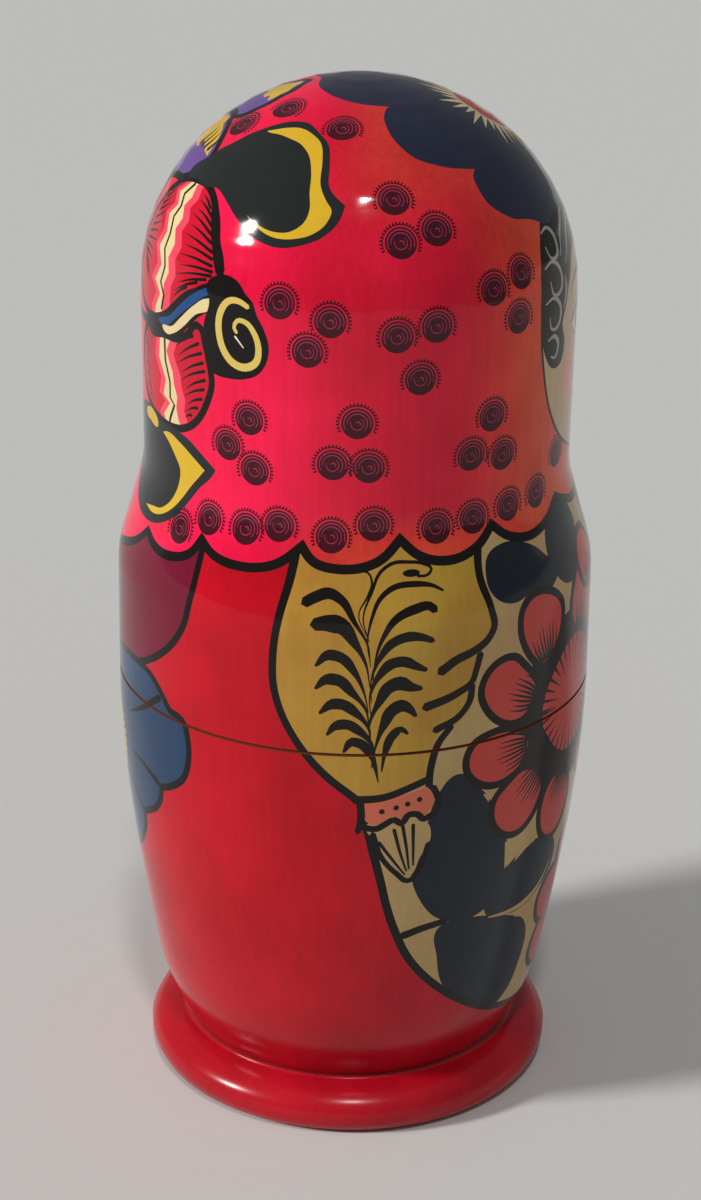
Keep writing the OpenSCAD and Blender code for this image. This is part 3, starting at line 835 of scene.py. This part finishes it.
# the face on the front, with parted hair, and the dark flower above it
faceArt = {
    "oval": [
        (-5, 176.6), (0, 176.6), (8, 177.2), (18, 180), (28, 185.5), (35, 194), (39, 205), (40.6, 214), (40.5, 224),
        (38.5, 233), (34, 241), (20, 247), (-5, 249)],
    "hair": [
        (-4, 246), (20, 247), (34, 241), (38.5, 234), (40.6, 225), (40.6, 216), (39, 209), (34, 204), (29, 204.5),
        (27, 209), (29, 214), (26, 220), (22, 226), (17, 230), (10, 233), (4, 236.5), (-4, 240)],
    "curls": [
        [(4, 241), (12, 238.5), (19, 234.5), (25, 228.5)], [(8, 243.5), (16, 241), (23, 237), (28, 231)],
        [(36, 238), (32, 238.8), (28.6, 235.6), (30, 231.6), (34, 231.6), (35.4, 234.6)],
        [(38, 229.5), (33.5, 230.6), (29.2, 227), (30.6, 222.8), (35, 223), (36, 226.2)],
        [(39, 221), (34.5, 221.8), (30.6, 218.4), (32, 214.4), (36, 214.6), (36.8, 217.4)],
        [(37.4, 211.6), (34, 212.2), (31.4, 209.4), (33.2, 206.6), (35.6, 207.4)],
        [(27, 226), (26.6, 221.6), (29, 218)], [(16, 245), (24, 242.4), (29, 240)]],
    "brow": ([(5.5, 221), (9, 223.8), (14, 224.6), (19, 223.3), (22.5, 220.5)], [0.5, 1.5, 1.5, 0.9, 0.3]),
    "eyeWhite": [
        (6.8, 211.5), (6.8, 211.5), (9, 214.2), (12.5, 215.6), (16.5, 214.8), (20, 211.8), (20, 211.8), (16.5, 209.2),
        (12.5, 208.3), (9, 209.3)],
    "lid": ([(6, 211), (9, 214.6), (12.5, 216.1), (16.8, 215.2), (21.6, 212.2)], [0.4, 1.2, 1.4, 1.2, 0.5]),
    "lowerLid": ([(7, 211), (9.5, 208.9), (13, 207.9), (17, 209), (20.5, 211.6)], [0.3, 0.5, 0.5, 0.3]),
    "lashes": [
        [(17, 215), (19, 217.6)], [(19, 213.8), (21.6, 216)], [(14.4, 215.9), (15.6, 218.6)],
        [(11.4, 215.8), (11.4, 218.4)]],
    "eye": [("iris", (13, 212.1), 3.5, 16, 0), ("ink", (13, 212.1), 1.9, 12, 0), ("white", (12, 213.3), 0.6, 8, 1)],
    "nose": ([(3.6, 202), (2.6, 200.4), (0.8, 200.2), (-1, 200.2)], [0.4, 0.7, 0.8, 0.8]),
    "bridge": ([(4.4, 218), (3.4, 212), (3, 206.5)], [0.3, 0.7, 0.4]),
    "upperLip": [(-3, 193.4), (0, 193.4), (2, 194.8), (4, 194), (8.6, 191.6), (8.6, 191.6), (4, 191.2), (-3, 191)],
    "lowerLip": [(-3, 191), (4, 191), (8, 191.4), (8, 191.4), (5.5, 189), (2, 187.9), (-3, 187.8)],
    "mouthLine": ([(-2, 191.1), (4, 191.2), (9, 191.8)], [0.4, 0.5, 0.25]), "cheek": (21, 199.5), "cheekSize": 6.2,
    "cheekPoints": 20, "ovalWidths": [0.9], "curlWidths": [0.4, 1.2, 1.1, 0.35], "lashWidths": [0.7, 0.2],
    "bloom": [
        (-6, 238.5), (8, 239), (20, 241.5), (32, 240), (38, 242), (47, 244), (54, 250), (54, 256), (52, 257.5),
        (52, 257.5), (65, 259.5), (76, 264), (81, 270), (82, 276), (78, 280), (76, 280.5), (76, 280.5), (95, 282),
        (110, 284), (140, 288), (180, 292), (190, 292)],
    "bloomHeart": (31, 0), "heartSize": 8.0,
    "bloomRounds": [("ruby", 8.0, 24), ("yellow", 3.0, 16)],  # colour, radius and points
    "starSpan": (-0.08, math.pi + 0.08, 17), "starReach": (9.5, 6.0, 8.0), "starOverlap": 0.5}


def paintFace(art):
    lay("skin", curve(art["oval"]))
    lay("blush", around(art["cheek"], art["cheekSize"], turnsOf(art["cheekPoints"])))
    lay("ink", curve(art["hair"]))
    for curl in art["curls"]:
        lay("curl", stroke(curl, art["curlWidths"]), 1)
    lay("ink", stroke(art["oval"][1:10], art["ovalWidths"]))  # from the chin to the temple
    lay("ink", stroke(*art["brow"]))
    lay("white", curve(art["eyeWhite"]))
    for colour, centre, size, count, detail in art["eye"]:
        lay(colour, around(centre, size, turnsOf(count)), detail)
    lay("ink", stroke(*art["lid"]))
    lay("ink", stroke(*art["lowerLid"]), 1)
    for lash in art["lashes"]:
        lay("ink", stroke(lash, art["lashWidths"], False), 1)
    lay("blush", stroke(*art["bridge"]), 1)
    lay("lip", stroke(*art["nose"]))
    layAll(("lip", "coral"), art, ("upperLip", "lowerLip"))
    lay("ink", stroke(*art["mouthLine"]), 1)
    paintBloom(art)


def paintBloom(art):  # the dark flower over the forehead, with a star of pointed petals
    layCap("indigo", curve(art["bloom"], False))
    heart, size = np.array(art["bloomHeart"]), art["heartSize"]
    for i, t in enumerate(np.linspace(*art["starSpan"])):
        way, side = np.array([math.cos(t), math.sin(t)]), np.array([-math.sin(t), math.cos(t)])
        foot = heart + way * (size - art["starOverlap"])
        lay("petalCream", onCrown([foot + side, heart + way * (size + art["starReach"][i % 3]), foot - side]))
    for colour, radius, count in art["bloomRounds"]:
        turns = turnsOf(count)
        lay(colour, onCrown(heart + radius * np.stack([np.cos(turns), np.sin(turns)], 1)))


def paintChart(detail, gap):  # every coat in painting order, at one level of detail
    brushes["detail"], brushes["gap"] = detail, gap
    paintLayers.clear()
    paintBack(backArt)
    paintApron(apronArt)
    paintSleeve(sleeveArt)
    paintKerchief(kerchiefArt)
    paintHead(headArt)
    paintFace(faceArt)
    return list(paintLayers)


# cutting the chart: every coat's edge becomes an edge of the mesh, and each face takes the topmost coat

cutting = {"ringTurn": 2.0, "clear": 1.5, "merge": 1e-3, "snap": 0.06, "batch": 4000, "arcSnap": 1e-6,
           "weld": 2e-6, "uvTurn": 0.96,
           "levels": {0: {"detail": 2, "gap": 1.0, "turn": 3.0, "rise": 3.0, "plainTurn": 3.0},
                      1: {"detail": 1, "gap": 1.7, "turn": 6.0, "rise": 4.5, "plainTurn": 5.0},
                      2: {"detail": 0, "gap": 2.6, "turn": 6.0, "rise": 4.5, "plainTurn": 5.0}},
           "rowMargins": {"foot": 1.2, "seamLow": 1, "seamHigh": 1.5, "crown": 2}, "fewest": 9, "thinBelow": 50}


def crownMap():  # radius on a flat map of the outside that keeps every angle, with the crown in its middle
    walk = walked(np.stack([chart["r"], chart["z"]], 1))
    left = walk[-1] - walk
    bend = np.zeros(len(left))
    bend[:-1] = 1 / np.maximum(chart["r"][:-1], tiny) - 1 / np.maximum(left[:-1], tiny)
    grow = np.concatenate([[0], np.cumsum((bend[::-1][1:] + bend[::-1][:-1]) / 2 * -np.diff(walk[::-1]))])[::-1]
    return left * np.exp(grow)


mapRadius = crownMap()


def toMap(uv):
    rho = np.interp(uv[:, 1], chart["v"], mapRadius)
    a = np.radians(uv[:, 0])
    return np.stack([rho * np.cos(a), rho * np.sin(a)], 1)


def fromMap(xy):
    v = np.interp(-np.hypot(xy[:, 0], xy[:, 1]), -mapRadius, chart["v"])
    return np.stack([np.degrees(np.arctan2(xy[:, 1], xy[:, 0])), v], 1)


def insideLoop(loop, points):  # by counting the loop's windings
    x1, y1 = loop.T
    x2, y2 = np.roll(loop, -1, 0).T
    hit = np.zeros(len(points), bool)
    for k in range(0, len(points), cutting["batch"]):
        px, py = points[k:k + cutting["batch"], :, None].transpose(1, 0, 2)
        side = (x2 - x1) * (py - y1) - (px - x1) * (y2 - y1)
        up = (y1 <= py) & (y2 > py) & (side > 0)
        down = (y1 > py) & (y2 <= py) & (side < 0)
        hit[k:k + cutting["batch"]] = up.sum(1) != down.sum(1)
    return hit


def gridPoints(level, loops):  # chart points that keep the faces small, clear of every coat's edge
    def cellOf(u, v):
        return int(u // cutting["clear"]), int(v // cutting["clear"])

    taken = {cellOf((u + 180) % 360 - 180, v) for loop in loops for u, v in loop}
    margin, turn = cutting["rowMargins"], level["turn"]
    rows = np.concatenate([np.arange(footEnd + margin["foot"], seamLow - margin["seamLow"], level["rise"]),
                           np.arange(seamHigh + margin["seamHigh"], crown - margin["crown"], level["rise"])])
    out = []
    for v in rows:
        across = np.arange(-180, 180, turn)
        if v >= chart["head"]:  # fewer to a row towards the crown
            count = max(cutting["fewest"], int(360 / turn * min(1, (crown - v) / cutting["thinBelow"])))
            across = np.linspace(-180, 180, count)[:-1]
        for u in across:
            a, b = cellOf(u, v)
            if not any((a + i, b + j) in taken for i in (-1, 0, 1) for j in (-1, 0, 1)):
                out.append((u, v))
    return np.array(out)


def cutChart(level):
    layers = paintChart(level["detail"], level["gap"])
    loops = [toMap(loop) for loop, colour in layers]
    fine = np.arange(-180, 180, cutting["ringTurn"])
    rings = [toMap(np.stack([fine, np.full(len(fine), v)], 1)) for v in (footEnd, seamLow, seamHigh)]
    points, edges = [Vector((0, 0))], []
    for line in loops + rings:
        first, count = len(points), len(line)
        points.extend(Vector(p) for p in line)
        edges.extend((first + i, first + (i + 1) % count) for i in range(count))
    points.extend(Vector(p) for p in toMap(gridPoints(level, [loop for loop, colour in layers])))
    verts, _, faces, _, _, _ = delaunay_2d_cdt(points, edges, [], 0, cutting["merge"], False)
    xy = np.array([tuple(p) for p in verts])
    tri = np.array([f for f in faces if len(f) == 3])
    at = fromMap(xy)
    for v in (footEnd, seamLow, seamHigh):
        at[np.abs(at[:, 1] - v) < cutting["snap"], 1] = v
    mid = xy[tri].mean(1)
    height = fromMap(mid)[:, 1]
    keep = (height > footEnd) & (at[tri, 1] > footEnd).any(1)
    tri, mid, height = tri[keep], mid[keep], height[keep]
    part = np.where(height < seamLow, 0, np.where(height > seamHigh, 2, 1))  # 0 below, 1 in and 2 above the seam
    part[(at[tri, 1] == seamLow).all(1) | (at[tri, 1] == seamHigh).all(1)] = 1
    coat = np.full(len(tri), -1)
    for k, loop in enumerate(loops):
        near = np.flatnonzero(((mid >= loop.min(0)) & (mid <= loop.max(0))).all(1))
        if len(near):
            coat[near[insideLoop(loop, mid[near])]] = k
    names = [colour for loop, colour in layers] + ["dress"]  # the last where no coat lies
    return {"at": at, "tri": tri, "part": part, "coat": np.array(names)[coat]}


# the hand-shaded dyes of the kerchief, and the dress's painted shade towards the foot: where each turns into another,
# in degrees from the front or in height
shading = {"warmFront": (36, 72), "warmSide": (92, 118), "warmSideUnder": (163, 178), "warmSideShare": 0.75,
           "warmCrown": (80, 112), "warmCrownOver": (240, 262), "warmCrownShare": 0.5, "pink": (92, 124),
           "low": (70, 20)}


def smoothStep(x, name):
    low, high = shading[name]
    t = np.clip((x - low) / (high - low), 0, 1)
    return t * t * (3 - 2 * t)


def mixed(tone, name, share):  # a tone with a share of one of the paints
    return tone * (1 - share[..., None]) + np.array(linear(paints[name][0])) * share[..., None]


def coatColours(cut):  # colour of every corner: plain paints as they are, the kerchief's dyes shaded from one into another, the dress darkened towards the foot as painted shade
    names = cut["coat"]
    u, v = np.abs(cut["at"][cut["tri"]].transpose(2, 0, 1))
    out = np.ones((len(names), 3, 4))
    for name in set(names):
        code, dye = paints["crimson" if name == "kerchief" else name]
        pick = names == name
        tone = np.broadcast_to(linear(code), (pick.sum(), 3, 3))
        pu, pv = u[pick], v[pick]
        if name == "kerchief":
            side = (1 - smoothStep(pu, "warmSide")) * (1 - smoothStep(pv, "warmSideUnder"))
            top = (1 - smoothStep(pu, "warmCrown")) * smoothStep(pv, "warmCrownOver")
            warm = np.maximum(1 - smoothStep(pu, "warmFront"), side * shading["warmSideShare"])
            warm = np.maximum(warm, top * shading["warmCrownShare"])
            tone = mixed(mixed(tone, "pink", smoothStep(pu, "pink")), "orange", warm)
        if name == "dress":
            # painted shade: the dress red turns darker from 70 down to 20 on the chart, towards the foot and its
            # crease
            tone = mixed(tone, "dressShadedLow", smoothStep(pv, "low"))
        out[pick, :, :3] = tone
        out[pick, :, 3] = dye
    return out


cuts = {}
for name, level in cutting["levels"].items():
    cuts[name] = cutChart(level)
    cuts[name]["colour"] = coatColours(cuts[name])
    print("chart cut, level", name, "faces", len(cuts[name]["tri"]))

# materials

lacquer = {"grainWide": 0.0014, "grainLong": 0.030, "grainDepth": 0.19, "grainNoise": (3.0, 0.6),  # detail, roughness
           "mottle": 0.030, "mottleDepth": 0.50, "mottleNoise": (2.0, 0.55), "waveNoise": (1.0, 0.5),
           "hueSwing": (0.8, 1.7, 1.4), "roughness": 0.5, "coatIor": 1.35, "wave": 0.012, "waveHeight": 0.00002,
           "footRoughness": 0.22, "coatRoughness": 0.09, "wornBelow": 0.012, "freshAbove": 0.06, "glossOver": -0.5}


def noise(tree, place, size, detail, roughness):
    place = addNode(tree, "ShaderNodeMapping", {"Vector": place, "Scale": [1 / length for length in size]}).outputs[0]
    inputs = {"Vector": place, "Scale": 1.0, "Detail": detail, "Roughness": roughness}
    return addNode(tree, "ShaderNodeTexNoise", inputs).outputs[0]


def paintedWood(s):  # dyed, painted lime wood under gloss lacquer: deep colour, soft streaks of grain, sharp lights
    material, tree, shader = newMaterial("lacqueredPaintedLime")
    paint = addNode(tree, "ShaderNodeAttribute", attribute_name="paint").outputs
    place = addNode(tree, "ShaderNodeTexCoord").outputs["Object"]
    grain = noise(tree, place, (s["grainWide"], s["grainWide"], s["grainLong"]), *s["grainNoise"])
    mottle = noise(tree, place, [s["mottle"]] * 3, *s["mottleNoise"])
    streak = maths(tree, "MULTIPLY_ADD", grain, 2 * s["grainDepth"], -s["grainDepth"])
    cloud = maths(tree, "MULTIPLY_ADD", mottle, 2 * s["mottleDepth"], -s["mottleDepth"])
    dye = maths(tree, "MAXIMUM", paint["Alpha"], 0.0)
    swing = maths(tree, "MULTIPLY", maths(tree, "ADD", streak, cloud), dye)
    share = vectorMaths(tree, "MULTIPLY_ADD", swing, s["hueSwing"], (1, 1, 1))
    gloss = maths(tree, "GREATER_THAN", paint["Alpha"], s["glossOver"])  # none in the seam, whose dye is -1
    height = addNode(tree, "ShaderNodeSeparateXYZ", {0: place}).outputs[2]
    # duller towards the foot, where the doll is handled and stands
    worn = addNode(tree, "ShaderNodeMapRange", {0: height, 1: s["wornBelow"], 2: s["freshAbove"],
                                                3: s["footRoughness"], 4: s["coatRoughness"]})
    wave = noise(tree, place, [s["wave"]] * 3, *s["waveNoise"])
    bump = addNode(tree, "ShaderNodeBump", {"Height": wave, "Strength": 1.0, "Distance": s["waveHeight"]})
    setInputs(tree, shader, {"Base Color": vectorMaths(tree, "MULTIPLY", paint["Color"], share),
                             "Roughness": s["roughness"], "Specular IOR Level": 0.0, "Coat Weight": gloss,
                             "Coat IOR": s["coatIor"], "Coat Roughness": worn.outputs[0],
                             "Coat Normal": bump.outputs[0]})
    return material


bareLime = {"colour": "#dcc08d", "ringColour": "#c9a873", "ringStep": 0.0008, "ringDepth": 0.12, "grainWide": 0.0014,
            "grainLong": 0.02, "grainNoise": (3.0, 0.5), "roughness": 0.72}


def turnedWood(s):  # bare lime wood from the lathe: pale, dry, with fine rings left by the gouge
    material, tree, shader = newMaterial("bareTurnedLime")
    place = addNode(tree, "ShaderNodeTexCoord").outputs["Object"]
    height = addNode(tree, "ShaderNodeSeparateXYZ", {0: place}).outputs[2]
    radius = vectorMaths(tree, "LENGTH", vectorMaths(tree, "MULTIPLY", place, (1, 1, 0)))
    phase = maths(tree, "MULTIPLY", maths(tree, "ADD", height, radius), 2 * math.pi / s["ringStep"])
    grain = noise(tree, place, (s["grainWide"], s["grainWide"], s["grainLong"]), *s["grainNoise"])
    blend = maths(tree, "MULTIPLY_ADD", maths(tree, "SINE", phase), s["ringDepth"], grain)
    mix = addNode(tree, "ShaderNodeMix", {0: blend, 6: (*linear(s["colour"]), 1), 7: (*linear(s["ringColour"]), 1)},
                  data_type="RGBA")
    setInputs(tree, shader, {"Base Color": mix.outputs[2], "Roughness": s["roughness"]})
    return material


painted = paintedWood(lacquer)
bare = turnedWood(bareLime)

# the wrap: a flat sheet of (turn, arc) is laid round a doll's own profile


def wrapTree():
    tree = bpy.data.node_groups.new("wrapRoundProfile", "GeometryNodeTree")
    for name, kind in (("Sheet", "Geometry"), ("Profile", "Object"), ("Painted", "Material"), ("Bare", "Material"),
                       ("Weld", "Float")):
        tree.interface.new_socket(name, in_out="INPUT", socket_type="NodeSocket" + kind)
    tree.interface.new_socket("Doll", in_out="OUTPUT", socket_type="NodeSocketGeometry")
    given = addNode(tree, "NodeGroupInput").outputs
    line = addNode(tree, "GeometryNodeObjectInfo", {"Object": given["Profile"]})
    line = addNode(tree, "GeometryNodeMeshToCurve", {"Mesh": line.outputs["Geometry"]})
    place = addNode(tree, "GeometryNodeInputPosition").outputs[0]
    turn, arc, _ = addNode(tree, "ShaderNodeSeparateXYZ", {0: place}).outputs
    spot = addNode(tree, "GeometryNodeSampleCurve", {"Curves": line.outputs[0], "Length": arc}, mode="LENGTH",
                   use_all_curves=True)
    radius, _, height = addNode(tree, "ShaderNodeSeparateXYZ", {0: spot.outputs["Position"]}).outputs
    east = maths(tree, "MULTIPLY", radius, maths(tree, "SINE", turn))
    north = maths(tree, "MULTIPLY", maths(tree, "MULTIPLY", radius, -1.0), maths(tree, "COSINE", turn))
    where = addNode(tree, "ShaderNodeCombineXYZ", {0: east, 1: north, 2: height}).outputs[0]
    moved = addNode(tree, "GeometryNodeSetPosition", {"Geometry": given["Sheet"], "Position": where}).outputs[0]
    joined = addNode(tree, "GeometryNodeMergeByDistance", {"Geometry": moved, "Distance": given["Weld"]}).outputs[0]
    real = addNode(tree, "GeometryNodeRealizeInstances", {"Geometry": joined}).outputs[0]
    coat = addNode(tree, "GeometryNodeSetMaterial", {"Geometry": real, "Material": given["Painted"]}).outputs[0]
    mark = addNode(tree, "GeometryNodeInputNamedAttribute", {"Name": "bare"}, data_type="BOOLEAN").outputs[0]
    raw = addNode(tree, "GeometryNodeSetMaterial", {"Geometry": coat, "Selection": mark, "Material": given["Bare"]})
    addNode(tree, "NodeGroupOutput", {"Doll": raw.outputs[0]})
    return tree


wrap = wrapTree()


def zipRings(ringA, ringB):  # triangles between two rings of (angle, index), each sorted and closed at both ends
    faces = []
    i = j = 0
    while i + 1 < len(ringA) or j + 1 < len(ringB):
        if j + 1 >= len(ringB) or (i + 1 < len(ringA) and ringA[i + 1][0] <= ringB[j + 1][0]):
            faces.append((ringA[i][1], ringA[i + 1][1], ringB[j][1]))
            i += 1
        else:
            faces.append((ringA[i][1], ringB[j + 1][1], ringB[j][1]))
            j += 1
    return faces


def closedRing(angles, indices):  # (angle, index) in order of angle, the first repeated a full turn on
    ring = sorted(zip(angles, indices))
    return ring + [(ring[0][0] + 2 * math.pi, ring[0][1])]


def sheetOf(doll, half):  # flat mesh data of one piece: painted outside from the chart, bare rest by turning
    profile, chartHere, cut = doll["halves"][half], doll["chart"], cuts[doll["level"]]
    (first, last), arc, radius = profile["run"], profile["arc"], profile["line"][:, 0]
    mine = np.isin(cut["part"], {"lower": [0], "upper": [2], "solid": [0, 1, 2]}[half])  # a solid doll has no seam
    used, tri = np.unique(cut["tri"][mine], return_inverse=True)
    tri = tri.reshape(-1, 3)
    at = cut["at"][used]
    s = np.interp(at[:, 1], chartHere["v"][chartHere["half"] == half], arc[first:last + 1])
    turn = -np.radians(at[:, 0])
    plain = np.radians(np.arange(-180, 180, cutting["levels"][doll["level"]]["plainTurn"]))
    extra, extraFaces, isBare = [], [], [False] * len(tri)
    for end, step in ((first, -1), (last, 1)):  # from the painted run's ends on to the profile's ends
        on = np.flatnonzero(np.abs(s - arc[end]) < cutting["arcSnap"])
        s[on] = arc[end]
        if radius[end] < turning["pole"]:
            continue
        ring = closedRing(turn[on], on.tolist())
        for k in range(end + step, len(arc) if step > 0 else -1, step):
            start = len(at) + len(extra)
            if radius[k] < turning["pole"]:
                extra.append((0.0, arc[k]))
                made = [(a, b, start) for (_, a), (_, b) in (pair[::step] for pair in zip(ring, ring[1:]))]
            else:
                extra.extend((a, arc[k]) for a in plain)
                after = closedRing(plain, range(start, start + len(plain)))
                made = zipRings(*(ring, after)[::step])
                ring = after
            extraFaces.extend(made)
            inSeam = k == end + step and (half, step) in (("upper", -1), ("lower", 1))
            isBare.extend([not inSeam] * len(made))
    dark = np.broadcast_to([*linear(paints["seam"][0]), paints["seam"][1]], (len(extraFaces), 3, 4))
    spots = np.concatenate([np.stack([turn, s], 1), np.array(extra).reshape(-1, 2)])
    faces = np.concatenate([tri[:, ::-1], np.array(extraFaces, int).reshape(-1, 3)])
    return spots, faces, np.concatenate([cut["colour"][mine][:, ::-1], dark]), np.array(isBare)


def profileNormals(profile, s, near):  # outward normal of the profile at an arc, on the side of a nearby arc
    line, arc = profile["line"], profile["arc"]
    step = np.diff(line, axis=0)
    way = step / np.linalg.norm(step, axis=1, keepdims=True)
    bend = np.arccos(np.clip((way[1:] * way[:-1]).sum(1), -1, 1))
    ahead, behind = way.copy(), way.copy()  # directions at the start and at the end of each step
    soft = np.flatnonzero(bend < turning["softBend"])
    mean = way[soft] + way[soft + 1]
    mean /= np.linalg.norm(mean, axis=1, keepdims=True)
    behind[soft], ahead[soft + 1] = mean, mean
    for end, ways, inward in ((-1, behind, (-1, 0)), (0, ahead, (1, 0))):  # square to the axis at a round end
        if line[end][0] < turning["pole"] and abs(way[end][1]) < turning["softBend"]:
            ways[end] = inward
    at = np.clip(s + np.clip(near - s, -turning["beside"], turning["beside"]), 0, arc[-1])
    k = np.clip(np.searchsorted(arc, at, side="right") - 1, 0, len(way) - 1)
    t = np.clip((s - arc[k]) / (arc[k + 1] - arc[k]), 0, 1)[:, None]
    tangent = ahead[k] * (1 - t) + behind[k] * t
    return np.stack([tangent[:, 1], -tangent[:, 0]], 1)


def shadeFromProfile(mesh, profile):  # smooth shading with the turned form's own normals, sharp at its corners
    corners, verts = len(mesh.loops), len(mesh.vertices)
    co, arc, of = np.empty(verts * 3), np.empty(verts, np.float32), np.empty(corners, int)
    mesh.vertices.foreach_get("co", co)
    mesh.attributes["arc"].data.foreach_get("value", arc)
    mesh.loops.foreach_get("vertex_index", of)
    co = co.reshape(-1, 3)
    sizes = np.empty(len(mesh.polygons), int)
    mesh.polygons.foreach_get("loop_total", sizes)
    face = np.repeat(np.arange(len(sizes)), sizes)
    mean = np.bincount(face, arc[of]) / sizes
    normal = profileNormals(profile, arc[of].astype(float), mean[face])
    r = np.hypot(co[:, 0], co[:, 1])
    way = np.where(r[:, None] > turning["flat"], co[:, :2] / np.maximum(r, tiny)[:, None], 0)[of]
    full = np.concatenate([way * normal[:, :1], normal[:, 1:]], 1)
    full /= np.maximum(np.linalg.norm(full, axis=1, keepdims=True), tiny)
    mesh.polygons.foreach_set("use_smooth", np.ones(len(sizes), bool))
    mesh.normals_split_custom_set(full.tolist())
    for helper in ("arc", "bare"):
        mesh.attributes.remove(mesh.attributes[helper])


def sheetUv(spots, faces, profile):  # (turn, arc) as shares, with every face in one piece
    turn, arc = spots[faces].transpose(2, 0, 1)
    atPole = np.interp(arc, profile["arc"], profile["line"][:, 0]) < turning["pole"]
    lead = np.where(atPole, -math.inf, turn).max(1, keepdims=True)
    turn = np.where(lead - turn > math.pi, turn + 2 * math.pi, turn)  # over the middle of the back
    mean = np.where(atPole, 0, turn).sum(1) / np.maximum((~atPole).sum(1), 1)
    turn = np.where(atPole, mean[:, None], turn)
    return np.stack([turn / (2 * math.pi) * cutting["uvTurn"] + 0.5, arc / profile["arc"][-1]], 2)


def buildPiece(doll, half):
    profile = doll["halves"][half]
    node, line = profile["node"], profile["line"]
    spots, faces, tones, isBare = sheetOf(doll, half)
    flat = bpy.data.meshes.new(node + "Sheet")
    flat.from_pydata([(a, s, 0) for a, s in spots], [], faces.tolist())
    flat.attributes.new("arc", "FLOAT", "POINT").data.foreach_set("value", spots[:, 1].astype(np.float32))
    flat.attributes.new("bare", "BOOLEAN", "FACE").data.foreach_set("value", isBare)
    paint = flat.attributes.new("paint", "FLOAT_COLOR", "CORNER")
    paint.data.foreach_set("color", tones.reshape(-1).astype(np.float32))
    uv = sheetUv(spots, faces, profile)
    flat.uv_layers.new(name="OFBake").data.foreach_set("uv", uv.reshape(-1).astype(np.float32))
    guide = bpy.data.meshes.new(node + "Profile")
    guide.from_pydata([(r, 0, z) for r, z in line], [(i, i + 1) for i in range(len(line) - 1)], [])
    helpers = [addObject(node + "Profile", guide), addObject(node + "Sheet", flat)]
    turned = helpers[1].modifiers.new("wrap", "NODES")
    turned.node_group = wrap
    values = {"Profile": helpers[0], "Painted": painted, "Bare": bare, "Weld": cutting["weld"]}
    for item in wrap.interface.items_tree:
        if item.in_out == "INPUT" and item.name in values:
            turned[item.identifier] = values[item.name]
    graph = bpy.context.evaluated_depsgraph_get()
    mesh = bpy.data.meshes.new_from_object(helpers[1].evaluated_get(graph), preserve_all_data_layers=True,
                                           depsgraph=graph)
    for helper in helpers:
        bpy.data.objects.remove(helper)
    for data in (guide, flat):
        bpy.data.meshes.remove(data)
    shadeFromProfile(mesh, profile)
    mesh.name = node + "Dressed"
    return addObject(node + "Dressed", mesh)


for doll in dolls:
    for half in doll["halves"]:
        node = doll["halves"][half]["node"]
        piece = buildPiece(doll, half)
        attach(piece, node)
        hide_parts(node)
        print(node, "dressed with", len(piece.data.polygons), "faces")
